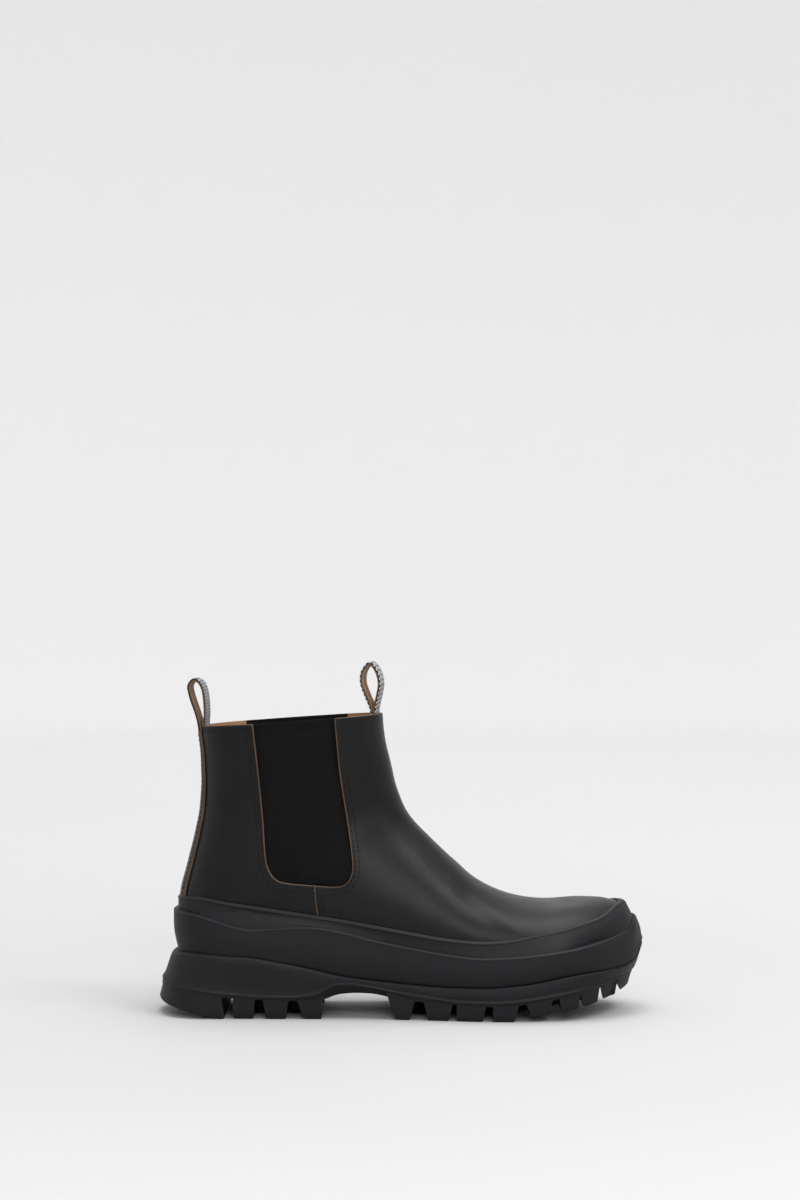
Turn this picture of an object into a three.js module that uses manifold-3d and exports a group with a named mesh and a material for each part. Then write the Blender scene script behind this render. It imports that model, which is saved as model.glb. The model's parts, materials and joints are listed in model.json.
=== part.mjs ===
// Chelsea boot, right foot, with a rubber cup sole and two pull tabs.
// Millimetres. +X points to the toe, +Y to the medial (inner) side, +Z up.
// The origin is the middle of the boot's footprint, on the ground.
//
// The upper is a tube of cross-sections that turn about a fixed pivot in front of the ankle:
// almost level at the collar, upright at the toe. Every layer of the upper, from the mudguard
// rand to the sock liner, is an offset of that one tube, cut to its pattern outline.

import * as THREE from 'three';
import { mergeVertices } from 'three/addons/utils/BufferGeometryUtils.js';
import Module from 'manifold-3d';

const wasm = await Module();
wasm.setup();

// ---------- driving dimensions ----------

const GAP = 0.3;
const LEATHER = 1.6;
const LINING = 1.0;
const STIFFENER = 1.0;
const ELASTIC = 1.2;
const STRAP = 1.1;
const RAND = 2.9;
const BOARD = 2.4;
const FOAM = 3.0;
const SOCK = 1.0;
// Cutting bodies reach this far past the boot, and lofts stand this much proud before a cut.
const FAR = 400;
const SPARE = 0.8;
// A cutting band runs between these x, this far to each side and no lower than its floor.
const BAND_REAR = -160;
const BAND_FRONT = 160;
const BAND_HALF_WIDTH = 100;
const BAND_FLOOR = -20;
// Edges shorter than this are closed up when solids are joined and cut.
const SLIVER = 0.02;

// The back strap's width and foot, and the lasting margins turned under the insole board.
const STRAP_HALF_WIDTH = 12;
const STRAP_FOOT_Z = 66;
const GORE_SEAM_ALLOWANCE = 8;
const LASTING_MARGIN = 0.6;
const MARGIN_DEPTH = 7;
const MARGIN_ANGLES = [216, 293];
const MARGIN_TOP = 70;

const STRAP_FRONT_X = -95;
const SHANK = { rear: -104, front: 20, halfWidth: 7 };
const SHANK_TOP = 60;
const FILLER_REAR_X = 22;

const TAB = { width: 18, leather: 1.0, webbing: 1.0, sewnLength: 16, sewnThickness: 1.6 };
const TAB_STEPS = 24;

// Angles of the sections about the pivot, in degrees: 180 is level, 270 is straight down.
const PIVOT = { x: 75, z: 195 };
const COLLAR_ANGLE = 183.95;
const TOE_ANGLE = 297.6;
const SECTION_ANGLES = [
  181.5, 187, 192.5, 198, 203, 207, 210.5, 214, 218.5, 224, 230, 236.5, 243.5, 251, 258.5,
  266, 273, 279.5, 285, 289.5, 293, 295.4, 296.9, TOE_ANGLE,
];
const POINTS_PER_SIDE = 10;
const SIDES = { lateral: -1, medial: 1 };

// Side view of the upper, [x, z]: down the shaft's front and over the instep to the toe.
const INSTEP_LINE = [
  [-12.5, 200], [-12, 189.5], [-10.2, 170], [-7.7, 159], [-3.2, 140], [3.8, 124.5], [17.9, 109],
  [33.8, 94], [45.9, 82], [59.3, 75.3], [74.6, 70.9], [90, 69.2], [109, 70.6], [126, 70.6],
  [136, 68.8], [142.1, 66.5],
];
// Down the heel, round its foot and along the insole edge to the toe.
const HEEL_LINE = [
  [-129.2, 200], [-128, 180], [-126.6, 168], [-125.7, 150], [-126.6, 130], [-130, 112],
  [-135, 92], [-138.6, 78], [-139.6, 69], [-138.6, 60], [-134, 52.5], [-124, 49.5], [-100, 48.5],
  [-60, 46], [-20, 40], [20, 34], [60, 32], [100, 34.5], [128, 41], [142, 48], [148.6, 54],
];
// Widest half-breadth of each section: [angle, lateral, medial].
const HALF_BREADTHS = [
  [180, 33, 33], [195, 33, 33], [205, 34, 34], [213, 35, 34.5], [225, 36, 35], [238, 39, 36],
  [251, 44, 39.5], [262, 48, 43.5], [270, 49, 45.5], [278, 46.5, 45.5], [285, 41.5, 43],
  [290, 35.5, 38.5], [294, 26, 30], [296, 18.5, 21.5], [297, 11.5, 13.5], [TOE_ANGLE, 0, 0],
];
// Sideways place of each section's ridge: the toe leans to the medial side.
const RIDGE_LINE = [[180, 0], [235, 0], [262, 3], [285, 6], [TOE_ANGLE, 8]];
// Where each section is widest (0 top or front, 1 sole or back), and how square its two ends are.
const WIDEST_AT = [[180, 0.5], [205, 0.52], [238, 0.62], [262, 0.68], [TOE_ANGLE, 0.62]];
const TOP_SQUARENESS = [[180, 2.2], [213, 2.1], [TOE_ANGLE, 2]];
const SOLE_SQUARENESS = [[180, 2.2], [205, 2.3], [225, 2.9], [TOE_ANGLE, 3.2]];

// Side view outlines of the pattern pieces, [x, z].
const GORE_WINDOW = [
  [-94.5, 210], [-93.1, 185.4], [-89.4, 153], [-86.3, 124], [-84.8, 103.4], [-82.9, 93.5],
  [-78.3, 86.8], [-71, 84.2], [-53.2, 82.7], [-41.5, 82], [-35.2, 83.4], [-31.2, 88.6],
  [-30.4, 98.2], [-33.5, 122], [-37.7, 148], [-40.2, 168.7], [-41.8, 188.2], [-43, 210],
];
const SIDE_SEAM = [[-67, 230], [-55.2, 88], [-54.5, 81], [-52.4, 66], [-48, 20]];
const HEEL_COUNTER = [[-150, 112], [-122, 112], [-98, 96], [-90, 76], [-88, 40], [-150, 40]];
const TOE_PUFF = [[96, 90], [100, 62], [106, 30], [160, 30], [160, 90]];

// Lines along the sole's side, [x, z].
const RAND_TOP_LINE = [
  [-160, 72.5], [-142, 73.5], [-127.6, 74.7], [-108.9, 72.3], [-90.8, 70], [-69.2, 66.8],
  [-34.9, 61.7], [1, 55.5], [30.4, 50.7], [52.6, 49.1], [66.9, 49.9], [81.2, 52.2], [98.9, 54.8],
  [113.9, 58.6], [124.9, 61.5], [136.5, 67.2], [141, 68.4], [160, 70],
];
const LEDGE_LINE = [
  [-160, 66], [-144.3, 65.6], [-127.4, 64.1], [-114.9, 60.8], [-102.7, 57.4], [-93.6, 56],
  [-75, 57.1], [-61.7, 57.9], [-48.2, 56.9], [-34.7, 54.3], [-17.9, 49.9], [9, 44.7],
  [30.3, 41.3], [50.1, 39.6], [64.3, 40.1], [98.7, 43.5], [124.3, 48.1], [135.5, 50.9],
  [144.3, 54.3], [149.1, 59.6], [160, 60],
];
const PARTING_LINE = [
  [-160, 38.5], [-142.9, 38.7], [-130.6, 40.1], [-108.8, 39.1], [-93.7, 38.3], [-81.8, 36.4],
  [-61.8, 32.5], [-34.8, 26.4], [-17.9, 24.3], [2.3, 22.4], [30.3, 20.7], [52.5, 20.6],
  [66.7, 21.7], [81, 23.4], [108, 28.2], [138.3, 31.5], [144.1, 33.1], [150.1, 37.6],
  [154.9, 43.8], [160, 44],
];
const TREAD_ROOT_LINE = [
  [-160, 21], [-147.9, 18.5], [-133.3, 16.6], [-120.6, 14.7], [-102.4, 12.8], [-68.9, 11.5],
  [-55, 11.5], [-49, 12.2], [-38, 15], [-28, 15.8], [-18, 15.4], [-4.5, 13], [24.1, 11],
  [54.8, 9.4], [66.7, 9.9], [78.6, 11.3], [98.7, 14.5], [121.6, 18.7], [135.7, 21], [148, 22],
  [160, 22],
];
const GROUND_LINE = [
  [-160, 11.5], [-155, 10.5], [-149.9, 8.4], [-133, 4.4], [-120, 1.6], [-110, 0], [70, 0],
  [78, 2.2], [93, 4.4], [111, 7.6], [124, 10.6], [136, 13.6], [147, 16.6], [160, 20],
];

// Outline of the midsole seen from above, from the heel tip to the toe tip, [x, y].
const LATERAL_EDGE = [
  [-141.5, -18], [-131, -31], [-113, -38.5], [-85, -41], [-50, -41.5], [-15, -43], [20, -47.5],
  [50, -52], [80, -53], [105, -49.5], [126, -40], [143, -24], [152, -7],
];
const MEDIAL_EDGE = [
  [-141.5, 17], [-131, 29.5], [-113, 36.5], [-85, 38], [-50, 36], [-15, 36.5], [20, 41],
  [50, 47], [80, 51.5], [105, 52], [126, 46.5], [143, 35], [152, 23],
];
const HEEL_TIP = [-144.8, 0];
const TOE_TIP = [154.9, 9];
const EDGE_STEPS = 22;
// How far the outline's points crowd towards the round heel and toe, from 0 to 1.
const END_CROWDING = 0.65;
// Between these x the wall changes from its heel profile to its side profile, then to its toe one.
const HEEL_ZONE = [-140, -100];
const TOE_ZONE = [105, 148];

// How far each wall stands in from that outline: [height share, inset] at heel, side and toe.
const MIDSOLE_WALL = {
  heel: [[0, 2.7], [0.25, 1.6], [0.5, 0.3], [1, 0.2]],
  side: [[0, 2.4], [0.25, 0.7], [0.5, 0], [1, 1.4]],
  toe: [[0, 0], [0.25, 1], [0.5, 1.6], [1, 5.4]],
};
const OUTSOLE_WALL = {
  heel: [[0, -6.4], [0.5, -4], [1, -0.7]],
  side: [[0, 1.6], [0.5, 1.2], [1, 1.8]],
  toe: [[0, 7.4], [0.5, 4], [1, 0.3]],
};
const TREAD_WALL = {
  heel: [[0, -10.2], [1, -6.4]],
  side: [[0, 2.6], [1, 1.6]],
  toe: [[0, 8.8], [1, 7.4]],
};

// Lugs seen from the side: [rear edge and front edge at the ground, slope of rear, slope of front].
const OUTER_LUGS = [
  [-170, -110, 0, 2], [-104, -92, -1, 1], [-84, -72, -2, 2], [-60.5, -49.5, -4, 0],
  [-3, 5.5, -5, 3], [17, 29.5, -3, 2.5], [34.5, 50.5, 0, 2], [57, 70, 0, 3], [81, 91.5, -3.5, 2.5],
  [99.5, 109.5, -1.5, 2], [113.5, 122.5, -2, 1.5], [126.5, 134.5, -1.5, 1.5], [138.5, 170, -1.5, 0],
];
const INNER_LUGS = [
  [-98, -80, -1.5, 1.5], [-75, -56, -1.5, 1.5], [3, 19, -1.5, 1.5], [24, 41, -1.5, 1.5],
  [46, 62, -1.5, 1.5], [67, 84, -1.5, 1.5], [89, 103, -1.5, 1.5], [108, 120, -1.5, 1.5],
];
const OUTER_ROW_INNER_EDGE = 23;
const INNER_ROW_HALF_WIDTH = 17;
// The heel and toe blocks are solid across; the channel beside the outer row lies between them.
const CHANNEL = [-109, 112];
// Lugs are cut out between these heights and run this far into the outsole.
const LUG_FOOT = -10;
const LUG_TOP = 40;
const LUG_BURIAL = 2;

// Middle line of each pull tab in side view, up from its root, round the top and back, [x, z].
const REAR_TAB = {
  hinge: [-124.6, 184.6],
  sewnBetween: [-140, -95],
  line: [
    [-126.2, 184], [-127.6, 188], [-130.8, 194.6], [-133.8, 201], [-134.6, 206.4], [-131.4, 210.6],
    [-127.2, 209], [-124.3, 203.5], [-123.2, 196], [-122.9, 189], [-123, 184],
  ],
};
const FRONT_TAB = {
  hinge: [-16.6, 192.6],
  sewnBetween: [-45, 0],
  line: [
    [-18.2, 192], [-19.6, 196], [-22.6, 202.4], [-24.5, 208.5], [-23.6, 215.6], [-18.6, 221.2],
    [-13.9, 215.4], [-12.2, 208], [-13, 200], [-14.5, 195.5], [-15, 192],
  ],
};

// ---------- materials ----------

const finish = (color, roughness, metalness = 0) => {
  return new THREE.MeshStandardMaterial({ color, roughness, metalness });
};
const BLACK_LEATHER = finish(0x1c1c1d, 0.38);
const TAN_LEATHER = finish(0xa9764a, 0.6);
const ELASTIC_CLOTH = finish(0x151516, 0.85);
const WEBBING = finish(0x8c8c90, 0.8);
const RUBBER = finish(0x232327, 0.62);
const FIBREBOARD = finish(0x9c8260, 0.85);
const FOAM_PAD = finish(0x3a3a3c, 0.9);
const STEEL = finish(0x8d9196, 0.35, 1);

// ---------- curves ----------

const toRadians = THREE.MathUtils.degToRad;

// A smooth value through [key, value] rows that never overshoots them.
function through(rows, column = 1) {
  const keys = rows.map((row) => row[0]);
  const values = rows.map((row) => row[column]);
  const slopes = keys.slice(1).map((key, i) => (values[i + 1] - values[i]) / (key - keys[i]));
  const tangents = keys.map((_, i) => {
    const before = slopes[Math.max(i - 1, 0)];
    const after = slopes[Math.min(i, slopes.length - 1)];
    return before * after <= 0 ? 0 : (2 * before * after) / (before + after);
  });
  return (key) => {
    const last = keys.length - 1;
    if (key <= keys[0]) return values[0];
    if (key >= keys[last]) return values[last];
    const i = keys.findIndex((k) => k > key) - 1;
    const span = keys[i + 1] - keys[i];
    const t = (key - keys[i]) / span;
    const a = values[i] + (t * span * tangents[i]) / 3;
    const b = values[i + 1] - ((1 - t) * span * tangents[i + 1]) / 3;
    const ease = t * t * (3 - 2 * t);
    return a + (b - a) * ease + (t * (1 - t) * (1 - 2 * t) * span * (tangents[i] + tangents[i + 1])) / 6;
  };
}

// A side-view line as distance from the pivot against section angle.
function fromPivot(line) {
  return through(line.map(([x, z]) => {
    const angle = Math.atan2(z - PIVOT.z, x - PIVOT.x) * THREE.MathUtils.RAD2DEG;
    return [(angle + 360) % 360, Math.hypot(x - PIVOT.x, z - PIVOT.z)];
  }));
}

const smoothStep = THREE.MathUtils.smoothstep;
const instepRadius = fromPivot(INSTEP_LINE);
const heelRadius = fromPivot(HEEL_LINE);
const lateralBreadth = through(HALF_BREADTHS, 1);
const medialBreadth = through(HALF_BREADTHS, 2);
const ridge = through(RIDGE_LINE);
const widestAt = through(WIDEST_AT);
const topSquareness = through(TOP_SQUARENESS);
const soleSquareness = through(SOLE_SQUARENESS);
const insoleEdge = through(HEEL_LINE.slice(10));
const randTop = through(RAND_TOP_LINE);
const ledge = through(LEDGE_LINE);
const parting = through(PARTING_LINE);
const treadRoot = through(TREAD_ROOT_LINE);
const ground = through(GROUND_LINE);

// ---------- the upper's tube ----------

// Half-breadth share at s (0 instep, 1 heel or sole).
function fullness(angle, s) {
  const peak = widestAt(angle);
  const power = s < peak ? topSquareness(angle) : soleSquareness(angle);
  const away = s < peak ? (peak - s) / peak : (s - peak) / (1 - peak);
  return Math.pow(Math.max(0, 1 - Math.pow(away, power)), 1 / power);
}

// A point of the outer leather. Turn 0 is the instep ridge, 1 the heel or sole ridge.
function upperPoint(angle, turn, side) {
  const s = (1 - Math.cos(Math.PI * turn)) / 2;
  const near = instepRadius(angle);
  const radius = near + s * (heelRadius(angle) - near);
  const breadth = side < 0 ? lateralBreadth(angle) : medialBreadth(angle);
  return new THREE.Vector3(
    PIVOT.x + radius * Math.cos(toRadians(angle)),
    ridge(angle) + side * breadth * fullness(angle, s),
    PIVOT.z + radius * Math.sin(toRadians(angle)),
  );
}

// Rings of POINTS_PER_SIDE * 2 points. The toe ring is flat, so its two sides share their points.
function makeTube() {
  const positions = [];
  const ringSize = POINTS_PER_SIDE * 2;
  const rings = SECTION_ANGLES.map((angle, i) => {
    const isToe = i === SECTION_ANGLES.length - 1;
    const ring = [];
    for (let j = 0; j < ringSize; j++) {
      if (isToe && j > POINTS_PER_SIDE) {
        ring.push(ring[ringSize - j]);
        continue;
      }
      const side = j <= POINTS_PER_SIDE ? SIDES.lateral : SIDES.medial;
      const turn = (side < 0 ? j : ringSize - j) / POINTS_PER_SIDE;
      const point = upperPoint(angle, turn, side);
      ring.push(positions.length / 3);
      positions.push(point.x, point.y, point.z);
    }
    return ring;
  });
  const triangles = [];
  const addTriangle = (a, b, c) => {
    if (a !== b && b !== c && c !== a) triangles.push(a, b, c);
  };
  for (let i = 0; i + 1 < rings.length; i++) {
    for (let j = 0; j < ringSize; j++) {
      const next = (j + 1) % ringSize;
      addTriangle(rings[i][j], rings[i + 1][j], rings[i + 1][next]);
      addTriangle(rings[i][j], rings[i + 1][next], rings[i][next]);
    }
  }
  const centre = positions.length / 3;
  const mouth = new THREE.Box3().setFromArray(positions.slice(0, 3 * ringSize));
  positions.push(...mouth.getCenter(new THREE.Vector3()));
  const skin = new THREE.BufferGeometry();
  skin.setAttribute('position', new THREE.Float32BufferAttribute(positions, 3));
  skin.setIndex(triangles);
  skin.computeVertexNormals();
  const lid = rings[0].flatMap((k, j) => [k, rings[0][(j + 1) % ringSize], centre]);
  const closed = triangles.concat(lid);
  return { skin, closed };
}
const TUBE = makeTube();

// The skin's winding depends on the side order above: +1 when its normals point outwards.
const skinSign = (() => {
  const normal = TUBE.skin.getAttribute('normal');
  return normal.getY(POINTS_PER_SIDE / 2) < 0 ? 1 : -1;
})();

// The tube with its skin moved in by a depth: a number, or a function of the skin's place.
function tube(depth) {
  const place = TUBE.skin.getAttribute('position');
  const normal = TUBE.skin.getAttribute('normal');
  const moved = new Float32Array(place.count * 3);
  for (let k = 0; k < place.count; k++) {
    const at = new THREE.Vector3().fromBufferAttribute(place, k);
    const inward = typeof depth === 'function' ? depth(at) : depth;
    const out = new THREE.Vector3().fromBufferAttribute(normal, k).multiplyScalar(skinSign);
    at.addScaledVector(out, -inward);
    at.toArray(moved, 3 * k);
  }
  return solid(moved, TUBE.closed);
}

// ---------- solids ----------

function solid(vertices, triangles) {
  const make = (order) => new wasm.Manifold(new wasm.Mesh({
    numProp: 3,
    vertProperties: Float32Array.from(vertices),
    triVerts: Uint32Array.from(order),
    tolerance: SLIVER,
  }));
  const first = make(triangles);
  if (first.volume() > 0) return first;
  const flipped = [];
  for (let k = 0; k < triangles.length; k += 3) {
    flipped.push(triangles[k], triangles[k + 2], triangles[k + 1]);
  }
  return make(flipped);
}

function solidOf(geometry) {
  geometry.deleteAttribute('normal');
  geometry.deleteAttribute('uv');
  const merged = mergeVertices(geometry, 1e-4);
  return solid(merged.getAttribute('position').array, merged.getIndex().array);
}

const toPoints = (rows) => rows.map(([a, b]) => new THREE.Vector2(a, b));

// A side-view outline [x, z], swept from y0 to y1.
function sidePrism(outline, y0 = -FAR, y1 = FAR) {
  const shape = new THREE.Shape(toPoints(outline));
  const prism = new THREE.ExtrudeGeometry(shape, { depth: y1 - y0, bevelEnabled: false });
  prism.rotateX(Math.PI / 2);
  prism.translate(0, y1, 0);
  return solidOf(prism);
}

// A plan-view outline [x, y], swept from z0 to z1.
function planPrism(outline, z0 = -FAR, z1 = FAR) {
  const shape = new THREE.Shape(toPoints(outline));
  const prism = new THREE.ExtrudeGeometry(shape, { depth: z1 - z0, bevelEnabled: false });
  prism.translate(0, 0, z0);
  return solidOf(prism);
}

function block(x0, x1, y0, y1, z0, z1) {
  const box = new THREE.BoxGeometry(x1 - x0, y1 - y0, z1 - z0);
  box.translate((x0 + x1) / 2, (y0 + y1) / 2, (z0 + z1) / 2);
  return solidOf(box);
}

// A side-view band between two heights, each a function of x.
function band(lower, upper, steps = 32) {
  const stride = (BAND_FRONT - BAND_REAR) / steps;
  const xs = Array.from({ length: steps + 1 }, (_, i) => BAND_REAR + stride * i);
  const rows = xs.map((x) => [x, lower(x)]);
  rows.push(...xs.reverse().map((x) => [x, upper(x)]));
  return sidePrism(rows, -BAND_HALF_WIDTH, BAND_HALF_WIDTH);
}

// An outline grown by a distance, or shrunk by a negative one.
function grow(outline, distance) {
  const points = toPoints(outline);
  const turn = THREE.ShapeUtils.area(points) > 0 ? 1 : -1;
  return points.map((point, i) => {
    const before = points[(i + points.length - 1) % points.length];
    const after = points[(i + 1) % points.length];
    const a = point.clone().sub(before).normalize();
    const b = after.clone().sub(point).normalize();
    const mid = new THREE.Vector2(a.y + b.y, -a.x - b.x).normalize();
    const reach = (turn * distance) / Math.max(0.4, mid.dot(new THREE.Vector2(a.y, -a.x)));
    return [point.x + mid.x * reach, point.y + mid.y * reach];
  });
}

// The one body a pattern piece is: slivers that a cut leaves loose are swept up.
function biggest(piece) {
  const bodies = piece.decompose();
  return bodies.reduce((a, b) => (a.volume() > b.volume() ? a : b));
}

function makeMesh(name, piece, material) {
  const { vertProperties, triVerts } = biggest(piece).getMesh();
  const geometry = new THREE.BufferGeometry();
  geometry.setAttribute('position', new THREE.BufferAttribute(Float32Array.from(vertProperties), 3));
  geometry.setIndex(new THREE.BufferAttribute(Uint32Array.from(triVerts), 1));
  geometry.computeVertexNormals();
  const mesh = new THREE.Mesh(geometry, material);
  mesh.name = name;
  return mesh;
}

// ---------- layers of the upper ----------

const halfSpace = (side, gap) => (side < 0
  ? block(-FAR, FAR, -FAR, -gap / 2, -FAR, FAR)
  : block(-FAR, FAR, gap / 2, FAR, -FAR, FAR));

// 1 where a heel counter or toe puff lies between leather and lining, 0 elsewhere.
function stiffened(at) {
  const heel = smoothStep(-at.x, 60, 74) * (1 - smoothStep(at.z, 124, 140));
  return Math.max(heel, smoothStep(at.x, 66, 80));
}

const liningDepth = LEATHER + GAP;
const step = STIFFENER + GAP;
const liningOuter = tube((at) => liningDepth + step * stiffened(at));
const liningInner = tube((at) => liningDepth + LINING + step * stiffened(at));
const cavity = tube((at) => liningDepth + LINING + GAP + step * stiffened(at));
const leatherOuter = tube(0);
const leatherInner = tube(LEATHER);

const collarSlope = Math.tan(toRadians(COLLAR_ANGLE - 180));
const collarHeight = (x) => PIVOT.z + collarSlope * (x - PIVOT.x);
const underCollar = sidePrism([
  [-FAR, -FAR], [FAR, -FAR], [FAR, collarHeight(FAR)], [-FAR, collarHeight(-FAR)],
]);

// The opening that the lasting margins leave under the insole board.
function marginOpening(extra) {
  const angles = SECTION_ANGLES.filter((angle) => angle > MARGIN_ANGLES[0] && angle < MARGIN_ANGLES[1]);
  const edge = (side) => angles.map((angle) => {
    const foot = upperPoint(angle, 1, side);
    const breadth = side < 0 ? lateralBreadth(angle) : medialBreadth(angle);
    return [foot.x, foot.y + side * (LASTING_MARGIN * breadth + extra)];
  });
  const opening = planPrism([...edge(SIDES.lateral), ...edge(SIDES.medial).reverse()], 0, MARGIN_TOP);
  return opening.intersect(band(() => BAND_FLOOR, (x) => insoleEdge(x) + MARGIN_DEPTH));
}

const upperShell = leatherOuter.subtract(leatherInner).intersect(underCollar)
  .subtract(marginOpening(0));
const liningShell = liningOuter.subtract(liningInner).intersect(underCollar)
  .subtract(marginOpening(0));
const goreOpening = sidePrism(GORE_WINDOW);
const seamShift = (dx) => SIDE_SEAM.map(([x, z]) => [x + dx, z]);
const behindSeam = sidePrism([...seamShift(-GAP / 2), [-FAR, 20], [-FAR, 230]]);
const aheadOfSeam = sidePrism([...seamShift(GAP / 2), [FAR, 20], [FAR, 230]]);

function makeUpper() {
  const upper = new THREE.Group();
  const cutLeather = upperShell.subtract(goreOpening);
  upper.add(makeMesh('vamp', cutLeather.intersect(aheadOfSeam), BLACK_LEATHER));
  const elasticSpace = tube(liningDepth).subtract(tube(liningDepth + ELASTIC)).intersect(underCollar);
  const panel = sidePrism(grow(GORE_WINDOW, GORE_SEAM_ALLOWANCE));
  for (const [name, side] of Object.entries(SIDES)) {
    const quarter = cutLeather.intersect(behindSeam).intersect(halfSpace(side, GAP));
    upper.add(makeMesh(`quarter_${name}`, quarter, BLACK_LEATHER));
    const gore = elasticSpace.intersect(panel).intersect(halfSpace(side, GAP));
    upper.add(makeMesh(`gore_${name}`, gore, ELASTIC_CLOTH));
  }
  upper.add(makeMesh('back_strap', makeBackStrap(), BLACK_LEATHER));
  return upper;
}

function strapSpace(depthOut, depthIn, extra) {
  const half = STRAP_HALF_WIDTH + extra;
  return tube(-depthOut).subtract(tube(-depthIn))
    .intersect(block(-FAR, STRAP_FRONT_X, -half, half, STRAP_FOOT_Z - extra, FAR));
}

function makeBackStrap() {
  return strapSpace(GAP + STRAP, GAP, 0).intersect(underCollar);
}

function makeLining() {
  const lining = new THREE.Group();
  const window = sidePrism(grow(GORE_WINDOW, GORE_SEAM_ALLOWANCE + GAP));
  const cut = liningShell.subtract(window);
  lining.add(makeMesh('vamp_lining', cut.intersect(aheadOfSeam), TAN_LEATHER));
  lining.add(makeMesh('heel_lining', cut.intersect(behindSeam), TAN_LEATHER));
  const stiffener = tube(liningDepth).subtract(tube(liningDepth + STIFFENER))
    .subtract(marginOpening(0));
  lining.add(makeMesh('heel_counter', stiffener.intersect(sidePrism(HEEL_COUNTER)), FIBREBOARD));
  lining.add(makeMesh('toe_puff', stiffener.intersect(sidePrism(TOE_PUFF)), FIBREBOARD));
  return lining;
}

// ---------- inside the sole ----------

function makeFootbed() {
  const bed = new THREE.Group();
  const boardTop = liningDepth + LINING + GAP + BOARD;
  const foamTop = boardTop + GAP + FOAM;
  const raised = (rise) => (x) => insoleEdge(x) + rise;
  const under = () => BAND_FLOOR;
  const board = cavity.intersect(band(under, raised(boardTop)));
  const foam = cavity.intersect(band(raised(boardTop + GAP), raised(foamTop)));
  const sock = cavity.intersect(band(raised(foamTop + GAP), raised(foamTop + GAP + SOCK)));
  bed.add(makeMesh('insole_board', board, FIBREBOARD));
  bed.add(makeMesh('footbed_foam', foam, FOAM_PAD));
  bed.add(makeMesh('sock_liner', sock, TAN_LEATHER));
  const hollow = leatherOuter.subtract(tube(liningDepth + LINING)).intersect(marginOpening(-GAP * 2));
  const forefoot = block(FILLER_REAR_X, FAR, -FAR, FAR, 0, FAR);
  bed.add(makeMesh('bottom_filler', hollow.intersect(forefoot), FIBREBOARD));
  const shankStrip = block(SHANK.rear, SHANK.front, -SHANK.halfWidth, SHANK.halfWidth, 0, SHANK_TOP);
  const shank = tube(GAP).subtract(tube(LEATHER + GAP)).intersect(shankStrip);
  bed.add(makeMesh('shank', shank, STEEL));
  return bed;
}

// ---------- sole ----------

const soleEdge = new THREE.CatmullRomCurve3(
  [HEEL_TIP, ...LATERAL_EDGE, TOE_TIP, ...[...MEDIAL_EDGE].reverse()]
    .map(([x, y]) => new THREE.Vector3(x, y, 0)),
  true,
);

// A point of the midsole's outline, moved in by the wall's inset. Along runs from heel to toe.
function soleEdgePoint(along, side, wall, share) {
  const t = side < 0 ? along / 2 : 1 - along / 2;
  const at = soleEdge.getPoint(t % 1);
  const tangent = soleEdge.getTangent(t % 1);
  const heelWeight = 1 - smoothStep(at.x, ...HEEL_ZONE);
  const toeWeight = smoothStep(at.x, ...TOE_ZONE);
  const sideWeight = 1 - heelWeight - toeWeight;
  const inset = heelWeight * wall.heel(share) + sideWeight * wall.side(share) + toeWeight * wall.toe(share);
  return [at.x - tangent.y * inset, at.y + tangent.x * inset];
}

// A solid between two side-view lines whose wall follows the sole's outline.
function soleLayer(profile, lower, upper, levels) {
  const wall = {
    heel: through(profile.heel),
    side: through(profile.side),
    toe: through(profile.toe),
  };
  const vertices = [];
  const ringSize = EDGE_STEPS * 2;
  const rings = levels.map((share) => {
    const ring = [];
    for (let j = 0; j < ringSize; j++) {
      const side = j <= EDGE_STEPS ? SIDES.lateral : SIDES.medial;
      const step = side < 0 ? j : ringSize - j;
      const along = (1 - Math.cos((Math.PI * step) / EDGE_STEPS)) / 2;
      const crowded = END_CROWDING * along + (1 - END_CROWDING) * (step / EDGE_STEPS);
      const [x, y] = soleEdgePoint(crowded, side, wall, share);
      ring.push(vertices.length / 3);
      vertices.push(x, y, lower(x) + share * (upper(x) - lower(x)));
    }
    return ring;
  });
  const triangles = [];
  const addQuad = (a, b, c, d) => {
    if (a !== b) triangles.push(a, b, c);
    if (c !== d) triangles.push(a, c, d);
  };
  for (let i = 0; i + 1 < rings.length; i++) {
    for (let j = 0; j < ringSize; j++) {
      const next = (j + 1) % ringSize;
      addQuad(rings[i][j], rings[i][next], rings[i + 1][next], rings[i + 1][j]);
    }
  }
  const top = rings[rings.length - 1];
  for (let j = 0; j < EDGE_STEPS; j++) {
    const back = (ringSize - j) % ringSize;
    const across = ringSize - j - 1;
    addQuad(top[back], top[j], top[j + 1], top[across]);
    addQuad(rings[0][j], rings[0][back], rings[0][across], rings[0][j + 1]);
  }
  return solid(vertices, triangles);
}

function makeRand() {
  const wall = tube(-RAND - GAP).subtract(tube(-GAP));
  const strapPocket = strapSpace(GAP * 2 + STRAP, 0, GAP);
  const lower = (x) => ledge(x) + GAP;
  return wall.intersect(band(lower, randTop)).subtract(strapPocket);
}

function makeMidsole() {
  const lower = (x) => parting(x) - SPARE;
  const upper = (x) => ledge(x) + SPARE;
  const cup = soleLayer(MIDSOLE_WALL, lower, upper, [0, 0.2, 0.5, 0.8, 1]);
  return cup.intersect(band((x) => parting(x) + GAP, ledge)).subtract(tube(-GAP));
}

// Side-view outlines of a row of lugs: from inside the outsole down to the ground.
function lugRow(lugs) {
  const prisms = lugs.map(([rear, front, rearSlope, frontSlope]) => {
    const share = LUG_TOP / treadRoot((rear + front) / 2);
    return sidePrism([
      [rear, LUG_FOOT], [front, LUG_FOOT], [front, 0], [front + frontSlope * share, LUG_TOP],
      [rear + rearSlope * share, LUG_TOP], [rear, 0],
    ], -BAND_HALF_WIDTH, BAND_HALF_WIDTH);
  });
  return wasm.Manifold.union(prisms);
}

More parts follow.
